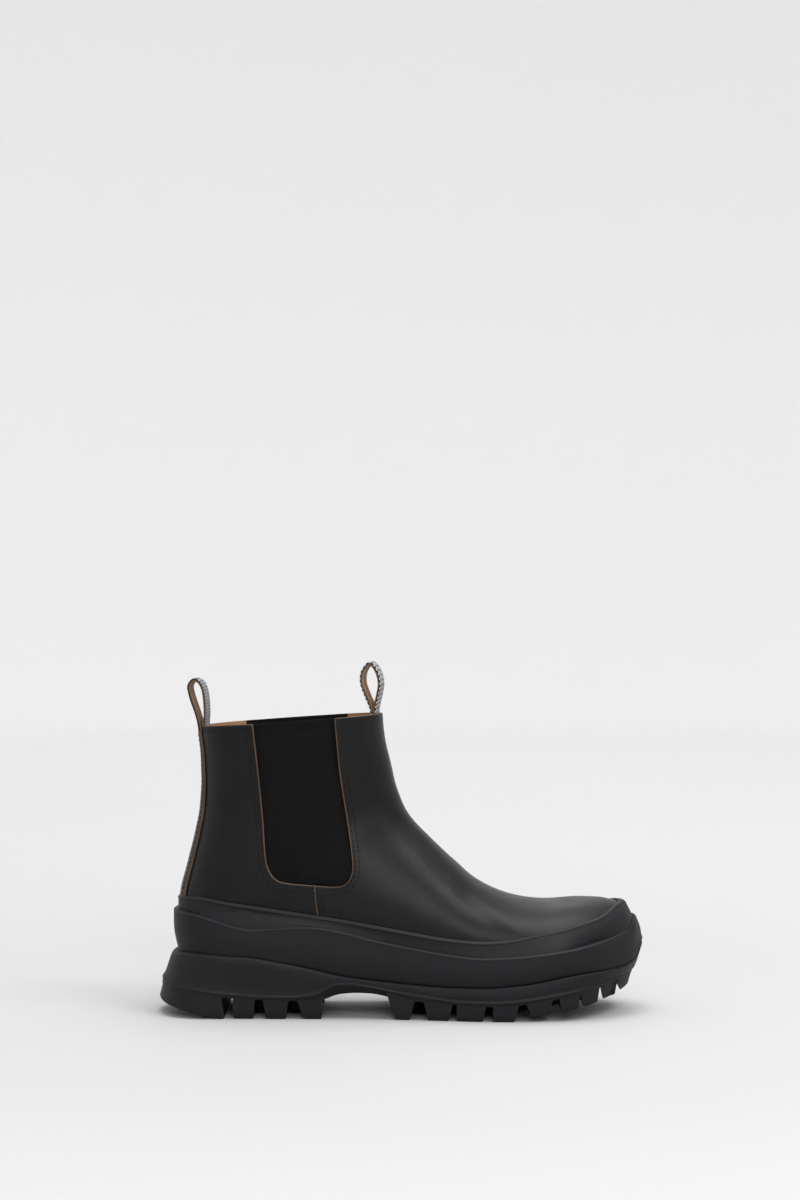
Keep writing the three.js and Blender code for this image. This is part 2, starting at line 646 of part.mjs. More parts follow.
function makeOutsole() {
  const upper = (x) => parting(x) + SPARE;
  const lofted = soleLayer(OUTSOLE_WALL, treadRoot, upper, [0, 0.5, 1]);
  const base = lofted.intersect(band(() => BAND_FLOOR, parting));
  const intoBase = (x) => treadRoot(x) + LUG_BURIAL;
  const tread = soleLayer(TREAD_WALL, ground, intoBase, [0, 1]);
  const channel = block(...CHANNEL, -OUTER_ROW_INNER_EDGE, OUTER_ROW_INNER_EDGE, LUG_FOOT, LUG_TOP);
  const innerRow = block(-FAR, FAR, -INNER_ROW_HALF_WIDTH, INNER_ROW_HALF_WIDTH, LUG_FOOT, LUG_TOP);
  const outer = tread.intersect(lugRow(OUTER_LUGS)).subtract(channel);
  const inner = tread.intersect(lugRow(INNER_LUGS)).intersect(innerRow);
  return base.add(outer).add(inner);
}

function makeSole() {
  const sole = new THREE.Group();
  sole.add(makeMesh('rand', makeRand(), RUBBER));
  sole.add(makeMesh('midsole', makeMidsole(), RUBBER));
  sole.add(makeMesh('outsole', makeOutsole(), RUBBER));
  return sole;
}

// ---------- pull tabs ----------

// A strip of constant thickness along a side-view line, between two offsets from it.
function strip(line, near, far, width) {
  const curve = new THREE.CatmullRomCurve3(line.map(([x, z]) => new THREE.Vector3(x, z, 0)));
  const offset = (distance) => Array.from({ length: TAB_STEPS + 1 }, (_, i) => {
    const at = curve.getPoint(i / TAB_STEPS);
    const along = curve.getTangent(i / TAB_STEPS);
    return [at.x - along.y * distance, at.y + along.x * distance];
  });
  return sidePrism([...offset(near), ...offset(far).reverse()], -width / 2, width / 2);
}

function makeTab(name, tab) {
  const group = new THREE.Group();
  const [x, z] = tab.hinge;
  const line = tab.line.map(([px, pz]) => [px - x, pz - z]);
  const leather = strip(line, -GAP / 2, -GAP / 2 - TAB.leather, TAB.width);
  const webbing = strip(line, GAP / 2, GAP / 2 + TAB.webbing, TAB.width);
  group.add(makeMesh(`${name}_tab_leather`, leather, TAN_LEATHER));
  group.add(makeMesh(`${name}_tab_webbing`, webbing, WEBBING));
  group.position.set(x, 0, z);
  return group;
}

// The tab's two ends, stitched together flat against the lining inside the collar.
function makeSewnEnd(name, x0, x1) {
  const half = TAB.width / 2;
  const face = liningDepth + LINING + GAP;
  const foot = collarHeight((x0 + x1) / 2) - TAB.sewnLength;
  const wall = tube(face).subtract(tube(face + TAB.sewnThickness));
  const piece = wall.intersect(block(x0, x1, -half, half, foot, FAR)).intersect(underCollar);
  return makeMesh(`${name}_tab_sewn_end`, piece, WEBBING);
}

// ---------- assembly ----------

const boot = new THREE.Group();
boot.add(makeUpper());
boot.add(makeLining());
boot.add(makeFootbed());
boot.add(makeSole());
boot.add(makeTab('rear', REAR_TAB));
boot.add(makeTab('front', FRONT_TAB));
boot.add(makeSewnEnd('rear', ...REAR_TAB.sewnBetween));
boot.add(makeSewnEnd('front', ...FRONT_TAB.sewnBetween));

boot.updateMatrixWorld(true);
const bounds = new THREE.Box3().setFromObject(boot, true);
const middle = bounds.getCenter(new THREE.Vector3());
boot.position.set(-middle.x, -middle.y, -bounds.min.z);

const chelseaBoot = new THREE.Group();
chelseaBoot.add(boot);

export default chelseaBoot;
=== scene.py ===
"""Chelsea boot, right foot: the looks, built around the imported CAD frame.

Shapes are worked out in millimetres in the frame of the CAD source, whose upper is a tube of
cross-sections turning about a pivot in front of the ankle. Every leather panel, stitch and rubber
wall is laid on that surface, and to_frame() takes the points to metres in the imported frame.
"""

import json
import math

import bmesh
import bpy
import numpy as np
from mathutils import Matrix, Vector
from mathutils.geometry import delaunay_2d_cdt


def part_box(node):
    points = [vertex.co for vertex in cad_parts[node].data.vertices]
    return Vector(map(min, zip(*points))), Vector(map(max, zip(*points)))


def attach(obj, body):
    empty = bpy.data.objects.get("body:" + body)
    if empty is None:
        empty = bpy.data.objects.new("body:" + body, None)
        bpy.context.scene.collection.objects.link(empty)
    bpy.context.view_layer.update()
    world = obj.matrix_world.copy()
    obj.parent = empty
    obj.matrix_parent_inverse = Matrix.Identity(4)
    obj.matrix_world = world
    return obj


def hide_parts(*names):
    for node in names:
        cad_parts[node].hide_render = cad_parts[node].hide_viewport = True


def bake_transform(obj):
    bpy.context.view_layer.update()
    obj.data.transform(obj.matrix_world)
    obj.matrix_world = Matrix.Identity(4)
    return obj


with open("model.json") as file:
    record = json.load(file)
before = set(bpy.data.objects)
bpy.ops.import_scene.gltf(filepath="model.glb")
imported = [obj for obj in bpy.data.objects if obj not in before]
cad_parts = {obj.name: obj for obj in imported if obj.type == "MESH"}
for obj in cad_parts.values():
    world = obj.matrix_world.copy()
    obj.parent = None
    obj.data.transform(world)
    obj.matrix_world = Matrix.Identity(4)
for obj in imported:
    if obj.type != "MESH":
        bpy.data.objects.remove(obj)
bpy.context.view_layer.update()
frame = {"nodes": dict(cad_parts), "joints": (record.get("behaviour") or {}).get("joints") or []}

# ---------------- driving dimensions, mm

# Layers of the upper, and the gap between them.
LEATHER = 1.6
LINING = 1.0
GAP = 0.3
STRAP = 1.5
RAND = 2.9
LINING_DEPTH = LEATHER + GAP
STIFFENER_STEP = 1.3
STRAP_TOP_HALF_WIDTH = 8.7
STRAP_FOOT_HALF_WIDTH = 15

PANEL_GRID = 1.9
STITCH_LENGTH = 2.5
STITCH_GAP = 0.7
THREAD_RADIUS = 0.26
THREAD_SIDES = 6
STITCH_SECTIONS = 7

# Side-view lines are points in x, z. A section's angle is measured at the pivot: it is least at
# the collar and greatest at the toe's tip.
PIVOT = np.array([75.0, 195.0])
COLLAR_ANGLE = 183.95
TOE_ANGLE = 297.6

INSTEP_LINE = [
    (-12.5, 200), (-12, 189.5), (-10.2, 170), (-7.7, 159), (-3.2, 140), (3.8, 124.5), (17.9, 109),
    (33.8, 94), (45.9, 83.3), (59.3, 75.8), (74.6, 70.9), (90, 69.2), (109, 70.6), (126, 70.6),
    (136, 68.8), (142.1, 66.5)]
HEEL_LINE = [
    (-129.2, 200), (-128, 180), (-126.6, 168), (-125.7, 150), (-126.6, 130), (-130, 112),
    (-135, 92), (-138.6, 78), (-139.6, 69), (-138.6, 60), (-134, 52.5), (-124, 49.5), (-100, 48.5),
    (-60, 46), (-20, 40), (20, 34), (60, 32), (100, 34.5), (128, 41), (142, 48), (148.6, 54)]
# Rows of section angle, then lateral and medial half breadth.
HALF_BREADTHS = [
    (180, 33, 33), (195, 33, 33), (205, 34, 34), (213, 35, 34.5), (225, 36, 35), (238, 39, 36),
    (251, 44, 39.5), (262, 48, 43.5), (270, 49, 45.5), (278, 46.5, 45.5), (285, 41.5, 43),
    (290, 35.5, 38.5), (294, 26, 30), (296, 18.5, 21.5), (297, 11.5, 13.5), (TOE_ANGLE, 0, 0)]
# Rows of section angle against the ridge's y, and against the shape of the section: where it is
# widest, and how square it is above and below that.
RIDGE_LINE = [(180, 0), (235, 0), (262, 3), (285, 6), (TOE_ANGLE, 8)]
WIDEST_AT = [(180, 0.5), (205, 0.52), (238, 0.62), (262, 0.68), (TOE_ANGLE, 0.62)]
TOP_SQUARENESS = [(180, 2.2), (213, 2.1), (TOE_ANGLE, 2)]
SOLE_SQUARENESS = [(180, 2.2), (205, 2.3), (225, 2.9), (TOE_ANGLE, 3.2)]

GORE_REAR_EDGE = [(-94.5, 206), (-93.1, 185.4), (-89.4, 153), (-86.3, 124), (-84.8, 103.4)]
GORE_FOOT = [(-82.9, 93.5), (-78.3, 86.8), (-71, 84.2), (-53.2, 82.7), (-41.5, 82), (-35.2, 83.4),
             (-31.2, 88.6)]
GORE_FRONT_EDGE = [(-30.4, 98.2), (-33.5, 122), (-37.7, 148), (-40.2, 168.7), (-41.8, 188.2),
                   (-43, 206)]
SIDE_SEAM = [(-54.2, 83.4), (-53.7, 76), (-52.4, 66), (-50, 52)]

# The sole's lines in side view, from the top down.
RAND_TOP_LINE = [
    (-160, 72.5), (-142, 73.5), (-127.6, 74.7), (-108.9, 72.3), (-90.8, 70), (-69.2, 66.8),
    (-34.9, 61.7), (1, 55.5), (30.4, 50.7), (52.6, 49.1), (66.9, 49.9), (81.2, 52.2), (98.9, 54.8),
    (113.9, 58.6), (124.9, 61.5), (136.5, 67.2), (141, 68.4), (160, 70)]
LEDGE_LINE = [
    (-160, 66), (-144.3, 65.6), (-127.4, 64.1), (-114.9, 60.8), (-102.7, 57.4), (-93.6, 56),
    (-75, 57.1), (-61.7, 57.9), (-48.2, 56.9), (-34.7, 54.3), (-17.9, 49.9), (9, 44.7),
    (30.3, 41.3), (50.1, 39.6), (64.3, 40.1), (98.7, 43.5), (124.3, 48.1), (135.5, 50.9),
    (144.3, 54.3), (149.1, 59.6), (160, 60)]
PARTING_LINE = [
    (-160, 38.5), (-142.9, 38.7), (-130.6, 40.1), (-108.8, 39.1), (-93.7, 38.3), (-81.8, 36.4),
    (-61.8, 32.5), (-34.8, 26.4), (-17.9, 24.3), (2.3, 22.4), (30.3, 20.7), (52.5, 20.6),
    (66.7, 21.7), (81, 23.4), (108, 28.2), (138.3, 31.5), (144.1, 33.1), (150.1, 37.6),
    (154.9, 43.8), (160, 44)]
WALL_FOOT_LINE = [
    (-160, 22), (-151.9, 22), (-147.9, 20.4), (-133.3, 18.6), (-120.6, 16.7), (-102.4, 14.8),
    (-90.4, 13.8), (-68.9, 13.5), (-51.6, 15.7), (-41.5, 21.3), (-31.4, 21.8), (-21.3, 20.5),
    (-7.8, 18.1), (5.6, 15.6), (24.1, 13), (38.3, 11.7), (54.8, 11.4), (66.7, 11.9), (78.6, 13.3),
    (98.7, 16.5), (108.2, 18.2), (121.6, 20.7), (135.7, 22.9), (148, 23.7), (160, 23.7)]
TREAD_ROOT_LINE = [
    (-160, 19), (-147.9, 18), (-133.3, 16.6), (-120.6, 14.7), (-102.4, 12.8), (-68.9, 11.5),
    (-55, 11.5), (-49, 12.2), (-38, 15), (-28, 15.8), (-18, 15.4), (-4.5, 13), (24.1, 11),
    (54.8, 9.4), (66.7, 9.9), (78.6, 11.3), (98.7, 14.5), (121.6, 18.7), (135.7, 21), (148, 22),
    (160, 22)]
GROUND_LINE = [
    (-160, 11.5), (-155, 10.5), (-149.9, 8.4), (-133, 4.4), (-120, 1.6), (-110, 0), (70, 0),
    (78, 2.2), (93, 4.4), (111, 7.6), (124, 10.6), (136, 13.6), (147, 16.6), (160, 20)]

# The sole's outline from above, in x, y.
LATERAL_EDGE = [
    (-141.5, -18), (-131, -31), (-113, -38.5), (-85, -41), (-50, -41.5), (-15, -43), (20, -47.5),
    (50, -52), (80, -53), (105, -49.5), (126, -40), (143, -24), (152, -7)]
MEDIAL_EDGE = [
    (-141.5, 17), (-131, 29.5), (-113, 36.5), (-85, 38), (-50, 36), (-15, 36.5), (20, 41),
    (50, 47), (80, 51.5), (105, 52), (126, 46.5), (143, 35), (152, 23)]
HEEL_TIP = (-144.8, 0)
TOE_TIP = (154.9, 9)
# Steps along each side of that outline.
EDGE_STEPS = 110

# Each lug's rear and front x at the ground, and how far each face leans from there to its root.
OUTER_LUGS = [
    (-104, -92, -1, 1), (-84, -72, -2, 2), (-60.5, -49.5, -4, 0), (-3, 5.5, -5, 3),
    (17, 29.5, -3, 2.5), (34.5, 50.5, 0, 2), (57, 70, 0, 3), (81, 91.5, -3.5, 2.5),
    (99.5, 109.5, -1.5, 2), (113.5, 122.5, -2, 1.5), (126.5, 134.5, -1.5, 1.5)]
INNER_LUGS = [
    (-98, -80, -1.5, 1.5), (-75, -56, -1.5, 1.5), (3, 19, -1.5, 1.5), (24, 41, -1.5, 1.5),
    (46, 62, -1.5, 1.5), (67, 84, -1.5, 1.5), (89, 103, -1.5, 1.5), (108, 120, -1.5, 1.5)]
OUTER_ROW_INNER_EDGE = 23
INNER_ROW_HALF_WIDTH = 17
HEEL_ROW_HALF_WIDTH = 13
LUG_NOSE = 2.4

# Where the rear pull tab folds, in x, z.
REAR_HINGE = (-124.6, 184.6)
TAB_WIDTH = 18

LATERAL, MEDIAL = -1, 1
SIDES = ((LATERAL, "lateral"), (MEDIAL, "medial"))

# ---------------- curves


def through(rows):
    """A smooth value through (key, value) rows that never overshoots them."""
    keys, values = np.array(rows, float).T
    slopes = np.diff(values) / np.diff(keys)
    before = np.concatenate([slopes[:1], slopes])
    after = np.concatenate([slopes, slopes[-1:]])
    same_way = before * after > 0
    tangents = np.where(same_way, 2 * before * after / np.where(same_way, before + after, 1), 0)

    def value(key):
        key = np.clip(key, keys[0], keys[-1])
        i = np.clip(np.searchsorted(keys, key, side="right") - 1, 0, len(keys) - 2)
        span = keys[i + 1] - keys[i]
        t = (key - keys[i]) / span
        blend = values[i] * (1 + 2 * t) * (1 - t) ** 2 + values[i + 1] * t * t * (3 - 2 * t)
        return blend + span * (tangents[i] * t * (1 - t) ** 2 - tangents[i + 1] * t * t * (1 - t))

    return value


def between(low, high, share, rise=0.0):
    """The height a share of the way between two side-view lines, as a function of x."""
    return lambda x: low(x) + share * (high(x) - low(x)) + rise


def polar(x, z):
    """Angle and distance from the pivot of a point in side view."""
    away_x, away_z = x - PIVOT[0], z - PIVOT[1]
    return np.degrees(np.arctan2(away_z, away_x)) % 360, np.hypot(away_x, away_z)


def from_pivot(line):
    """A side-view line as distance from the pivot against section angle."""
    return through(list(zip(*polar(*np.array(line, float).T))))


def toeward(rows, column):
    """A section value whose last stretch closes round the toe as an ellipse does."""
    value = through([(math.sqrt(TOE_ANGLE - row[0]), row[column]) for row in rows[::-1]])
    return lambda angle: value(np.sqrt(np.maximum(TOE_ANGLE - angle, 0)))


def smooth_step(value, low, high):
    t = np.clip((value - low) / (high - low), 0, 1)
    return t * t * (3 - 2 * t)


def catmull_rom(a, b, c, d, steps):
    """Points from b up to c on the smooth curve through four neighbours."""
    return [0.5 * (2 * b + (c - a) * t + (2 * a - 5 * b + 4 * c - d) * t * t
                   + (3 * b - a - 3 * c + d) * t ** 3) for t in np.linspace(0, 1, steps, endpoint=False)]


def spline(points, spacing):
    """Points about one spacing apart on a smooth curve through the given ones."""
    points = np.array(points, float)
    ends = np.vstack([2 * points[0] - points[1], points, 2 * points[-1] - points[-2]])
    dense = []
    for neighbours in zip(ends, ends[1:], ends[2:], ends[3:]):
        dense += catmull_rom(*neighbours, 24)
    return resample(np.array(dense + [points[-1]]), spacing)


def travel(points):
    """Distance along a line to each of its points."""
    return np.concatenate([[0], np.cumsum(np.linalg.norm(np.diff(points, axis=0), axis=1))])


def points_at(at, along, points):
    """Values in between a line's points, at given distances along it."""
    return np.stack([np.interp(at, along, column) for column in points.T], axis=1)


def resample(points, spacing):
    along = travel(points)
    count = max(2, int(round(along[-1] / spacing)) + 1)
    return points_at(np.linspace(0, along[-1], count), along, points)


def unit(vectors):
    return vectors / np.maximum(np.linalg.norm(vectors, axis=-1, keepdims=True), 1e-9)


def to_right(along):
    """Unit vectors to the right of a flat line's directions."""
    along = unit(along)
    return np.stack([along[:, 1], -along[:, 0]], axis=1)


def offset_line(line, distance):
    """A flat line moved to the right of its direction."""
    return line + to_right(np.gradient(line, axis=0)) * distance


instep_radius = from_pivot(INSTEP_LINE)
heel_radius = from_pivot(HEEL_LINE)
lateral_breadth = toeward(HALF_BREADTHS, 1)
medial_breadth = toeward(HALF_BREADTHS, 2)
ridge = through(RIDGE_LINE)
widest_at = through(WIDEST_AT)
top_squareness = through(TOP_SQUARENESS)
sole_squareness = through(SOLE_SQUARENESS)
# The heel line runs on along the sole, and that stretch is the edge of the insole.
insole_edge = through(HEEL_LINE[10:])
rand_top = through(RAND_TOP_LINE)
ledge = through(LEDGE_LINE)
parting = through(PARTING_LINE)
wall_foot = through(WALL_FOOT_LINE)
tread_root = through(TREAD_ROOT_LINE)
ground = through(GROUND_LINE)


def collar_height(x):
    return PIVOT[1] + math.tan(math.radians(COLLAR_ANGLE - 180)) * (x - PIVOT[0])


# ---------------- the upper's surface


def share_of(turn):
    """How far from the instep ridge to the heel or sole ridge a turn lies, from 0 to 1."""
    return (1 - np.cos(np.pi * turn)) / 2


def turn_of(share):
    return np.arccos(1 - 2 * share) / np.pi


def section_radius(angle, turn):
    near = instep_radius(angle)
    return near + share_of(turn) * (heel_radius(angle) - near)


def fullness(angle, share):
    """A section's half breadth there, as a part of its greatest one."""
    peak = widest_at(angle)
    top = share < peak
    power = np.where(top, top_squareness(angle), sole_squareness(angle))
    away = np.where(top, (peak - share) / peak, (share - peak) / (1 - peak))
    return np.maximum(0, 1 - np.abs(away) ** power) ** (1 / power)


def skin(angle, turn):
    """A point of the outer leather. Turn runs from -1 round the lateral side, over the instep
    ridge at 0, round the medial side to 1, which is the heel or sole ridge again."""
    angle = np.minimum(angle, TOE_ANGLE)
    turn = (turn + 1) % 2 - 1
    radius = section_radius(angle, turn)
    breadth = np.where(turn < 0, -lateral_breadth(angle), medial_breadth(angle))
    y = ridge(angle) + breadth * fullness(angle, share_of(turn))
    a = np.radians(angle)
    return np.stack([PIVOT[0] + radius * np.cos(a), y, PIVOT[1] + radius * np.sin(a)], axis=-1)


def skin_normal(angle, turn):
    """The outward unit normal of the skin, from small steps either way."""
    inside = np.minimum(angle, TOE_ANGLE - 0.02)
    along = skin(inside + 0.01, turn) - skin(inside - 0.01, turn)
    around = skin(inside, turn + 0.002) - skin(inside, turn - 0.002)
    return unit(np.cross(along, around))


def laid(angle, turn, depth):
    """A point at a depth under the skin."""
    return skin(angle, turn) - skin_normal(angle, turn) * np.asarray(depth, float)[..., None]


def to_section(x, z, side):
    """Angle and turn of the skin's point that the side view shows at x, z."""
    angle, reach = polar(x, z)
    near = instep_radius(angle)
    share = np.clip((reach - near) / (heel_radius(angle) - near), 0, 1)
    return angle, side * turn_of(share)


def strip_turn(angle, half_width, at_heel=True):
    """How far from the heel or instep ridge, in turn, the skin is half_width to the side."""
    power = sole_squareness(angle) if at_heel else top_squareness(angle)
    part = np.clip(half_width / medial_breadth(angle), 0, 0.98)
    away = (1 - part ** power) ** (1 / power)
    peak = widest_at(angle)
    return 1 - turn_of(peak + (1 - peak) * away) if at_heel else turn_of(peak * (1 - away))


def stiffener_depth(place):
    """How far the heel counter or the toe puff pushes in what lies under the leather."""
    x, z = place[:, 0], place[:, 2]
    heel = smooth_step(-x, 60, 74) * (1 - smooth_step(z, 124, 140))
    return STIFFENER_STEP * np.maximum(heel, smooth_step(x, 66, 80))


# ---------------- meshes

joints = {joint["name"]: joint for joint in frame["joints"]}
hinge_x = joints["rear_tab_fold"]["pos_m"][0] * 1000
tab_low, tab_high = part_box("rear_tab_leather")
SHIFT = np.array([hinge_x - REAR_HINGE[0], (tab_low.y + tab_high.y) * 500, 0])


def to_frame(points):
    return (np.asarray(points, float) + SHIFT) / 1000


def add_to_scene(name, data):
    thing = bpy.data.objects.new(name, data)
    bpy.context.scene.collection.objects.link(thing)
    return thing


def make_object(name, points, faces, materials, material_of=None, sharp=40, weld=True):
    """A mesh object from points in millimetres."""
    mesh = bpy.data.meshes.new(name)
    mesh.from_pydata(to_frame(points).tolist(), [], [list(map(int, face)) for face in faces])
    for material in materials:
        mesh.materials.append(material)
    if material_of is not None:
        mesh.polygons.foreach_set("material_index", np.asarray(material_of, np.int32))
    if weld:
        work = bmesh.new()
        work.from_mesh(mesh)
        bmesh.ops.remove_doubles(work, verts=work.verts, dist=2e-6)
        bmesh.ops.dissolve_degenerate(work, dist=1e-6, edges=work.edges)
        bmesh.ops.recalc_face_normals(work, faces=work.faces)
        work.to_mesh(mesh)
        work.free()
    mesh.shade_smooth()
    mesh.set_sharp_from_angle(angle=math.radians(sharp))
    return add_to_scene(name, mesh)


def stand_for(nodes):
    """The piece takes the place of CAD nodes, if there are any: they are hidden."""
    if nodes:
        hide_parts(*nodes)


def finish_piece(piece, slot, *nodes):
    """Everything but the pull tabs' loops rides on the boot."""
    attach(piece, "boot")
    stand_for(nodes)


def ring_faces(rings, count, closed=True):
    """Quads between neighbouring rings of one size."""
    faces = []
    for i in range(rings - 1):
        for j in range(count if closed else count - 1):
            k = (j + 1) % count
            faces.append((i * count + j, i * count + k, (i + 1) * count + k, (i + 1) * count + j))
    return faces


def block_from_rings(rings):
    """Points and faces of a closed solid from outlines of one size, joined and capped."""
    count = len(rings[0])
    faces = ring_faces(len(rings), count)
    faces.append(tuple(range(count))[::-1])
    faces.append(tuple((len(rings) - 1) * count + k for k in range(count)))
    return np.vstack(rings), faces


def joined(parts):
    """Points and faces of several solids as those of one mesh."""
    points, faces, count = [], [], 0
    for part_points, part_faces in parts:
        points.append(part_points)
        faces += [tuple(i + count for i in face) for face in part_faces]
        count += len(part_points)
    return np.vstack(points), faces


# ---------------- flat patterns on the skin

# Lengths in the pattern are near the real ones: millimetres to a degree of section, to a
# millimetre of breadth gained, and to a whole turn.
DEGREE_LENGTH = 2.8
BREADTH_LENGTH = 0.8
TURN_SCALE = 140.0

PATTERN_ANGLES = TOE_ANGLE - np.linspace(math.sqrt(TOE_ANGLE - 180), 0, 1500) ** 2
PATTERN_ALONG = travel(np.column_stack([PATTERN_ANGLES * DEGREE_LENGTH,
                                        lateral_breadth(PATTERN_ANGLES) * BREADTH_LENGTH]))


def to_flat(angle, turn):
    return np.stack([np.interp(angle, PATTERN_ANGLES, PATTERN_ALONG), turn * TURN_SCALE], axis=-1)


def from_flat(flat):
    return np.interp(flat[:, 0], PATTERN_ALONG, PATTERN_ANGLES), flat[:, 1] / TURN_SCALE


def outline_on(side, line):
    """A side-view line as flat-pattern points."""
    line = np.array(line, float)
    return to_flat(*to_section(line[:, 0], line[:, 1], side))


def straight(start, end, count):
    steps = np.linspace(0, 1, count)[:, None]
    return start * (1 - steps) + end * steps


def flat_join(*parts):
    """One outline from several flat lines, without doubled corner points."""
    points = [parts[0][0]]
    for point in np.vstack(parts):
        if np.linalg.norm(point - points[-1]) > 0.25:
            points.append(point)
    if np.linalg.norm(points[0] - points[-1]) < 0.25:
        points.pop()
    return np.array(points)


def strip_outline(left, right):
    """The outline of a strip between two lines that run the same way."""
    return flat_join(left, straight(left[-1], right[-1], 14), right[::-1], straight(right[0], left[0], 14))


def segment_distance(points, starts, ends):
    """Distance from each point to the nearest of the segments."""
    best = np.full(len(points), 1e9)
    for a, b in zip(starts, ends):
        d = b - a
        t = np.clip(((points - a) @ d) / max(d @ d, 1e-12), 0, 1)
        best = np.minimum(best, np.linalg.norm(points - a - t[:, None] * d, axis=1))
    return best


def inside_polygon(points, polygon):
    hits = np.zeros(len(points), bool)
    for a, b in zip(polygon, np.roll(polygon, -1, axis=0)):
        if a[1] == b[1]:
            continue
        spans = (a[1] > points[:, 1]) != (b[1] > points[:, 1])
        hits ^= spans & (points[:, 0] < (b[0] - a[0]) * (points[:, 1] - a[1]) / (b[1] - a[1]) + a[0])
    return hits


# How far inside a panel's cut edge its two rows of extra points lie, to carry the rounded edge.
EDGE_ROWS = (0.35, 0.9)


def cut_panel(outline, grid, free):
    """Flat points and triangles of a pattern, and each point's distance to the cut edge. free says
    which outline points are on that edge and not on a join."""
    starts, ends = outline, np.roll(outline, -1, axis=0)
    area = np.sum(starts[:, 0] * ends[:, 1] - ends[:, 0] * starts[:, 1]) / 2
    inward = -to_right(ends - np.roll(outline, 1, axis=0)) * np.sign(area)
    rows = []
    for inset in EDGE_ROWS:
        row = outline[free] + inward[free] * inset
        rows.append(row[segment_distance(row, starts, ends) > inset * 0.85])
    low, high = outline.min(0), outline.max(0)
    lattice_u, lattice_v = np.meshgrid(*(np.arange(low[k] + grid / 2, high[k], grid) for k in range(2)))
    lattice_u[1::2] += grid / 2
    lattice = np.stack([lattice_u.ravel(), lattice_v.ravel()], axis=1)
    lattice = lattice[inside_polygon(lattice, outline)]
    lattice = lattice[segment_distance(lattice, starts, ends) > grid * 0.75]
    lattice = lattice[segment_distance(lattice, rows[1], rows[1]) > grid * 0.45]
    points = np.vstack([outline] + [row[inside_polygon(row, outline)] for row in rows] + [lattice])
    result = delaunay_2d_cdt([Vector(p) for p in points], [], [list(range(len(outline)))], 1, 1e-6)
    flat = np.array([tuple(p) for p in result[0]])
    edge_free = free & np.roll(free, -1)
    return flat, np.array(result[2]), segment_distance(flat, starts[edge_free], ends[edge_free])


def one_sided_edges(triangles):
    """Directed edges with a face on one side only."""
    edges = {}
    for a, b, c in triangles:
        for edge in ((a, b), (b, c), (c, a)):
            edges[edge] = True
    return [(a, b) for a, b in edges if (b, a) not in edges]


def panel(name, outline, depth, thickness, materials, grid=PANEL_GRID, free=None, bevel=0.28,
          edge_width=0.2):
    """A leather or cloth panel with real thickness. depth is a number, or a function of a point's
    place and distance to the cut edge. materials are its face, back and cut edge."""
    if free is None:
        free = np.ones(len(outline), bool)
    flat, triangles, distance = cut_panel(outline, grid, free)
    angle, turn = from_flat(flat)
    top = depth(skin(angle, turn), distance) if callable(depth) else depth
    rounding = bevel * np.clip(1 - distance / EDGE_ROWS[1], 0, 1) ** 2
    outer = laid(angle, turn, top + rounding)
    inner = laid(angle, turn, top + thickness - rounding * 0.5)
    n = len(flat)
    faces = [tuple(t) for t in triangles] + [tuple(t[::-1] + n) for t in triangles]
    near_edge = distance[triangles].min(axis=1) + distance[triangles].max(axis=1) < edge_width * 2
    kinds = [2 if near else 0 for near in near_edge] + [1] * len(triangles)
    on_join = segment_distance(flat, outline[~free], outline[~free]) < 1e-4
    for a, b in one_sided_edges(triangles):
        if not (on_join[a] and on_join[b]):
            faces.append((b, a, a + n, b + n))
            kinds.append(2)
    return make_object(name, np.vstack([outer, inner]), faces, materials, kinds, sharp=50)


# ---------------- stitching


def stitch_row(points, normals):
    """The solids of a run of thread stitches along a line of surface points. A stitch is a round
    thread that rises out of the surface and goes back into it at both ends."""
    along = travel(points)
    count = int(along[-1] // (STITCH_LENGTH + STITCH_GAP))
    t = np.linspace(-1, 1, STITCH_SECTIONS)[:, None]
    around = 2 * np.pi * np.arange(THREAD_SIDES) / THREAD_SIDES
    size = THREAD_RADIUS * (1 - 0.35 * t ** 4)
    up = THREAD_RADIUS * (1.15 - 2.6 * np.abs(t) ** 3) + size * np.sin(around) * 0.8
    out = size * np.cos(around)
    solids = []
    for k in range(count):
        start = (k + 0.5) * along[-1] / count - STITCH_LENGTH / 2
        at = np.clip(start + np.linspace(0, STITCH_LENGTH, STITCH_SECTIONS), 0, along[-1])
        centre = points_at(at, along, points)
        normal = points_at(at, along, normals)
        side = np.cross(normal, unit(centre[-1] - centre[0]))
        rings = centre[:, None] + normal[:, None] * up[..., None] + side[:, None] * out[..., None]
        solids.append(block_from_rings(rings))
    return solids


def stitches(name, rows, depth=0.0, facing=1):
    """One object holding several rows of stitches, each row as angles and turns. facing is -1 for
    stitches that show inside the boot."""
    solids = []
    for angle, turn in rows:
        solids += stitch_row(laid(angle, turn, depth), facing * skin_normal(angle, turn))
    points, faces = joined(solids)
    return make_object(name, points, faces, [THREAD], sharp=80, weld=False)


# ---------------- materials


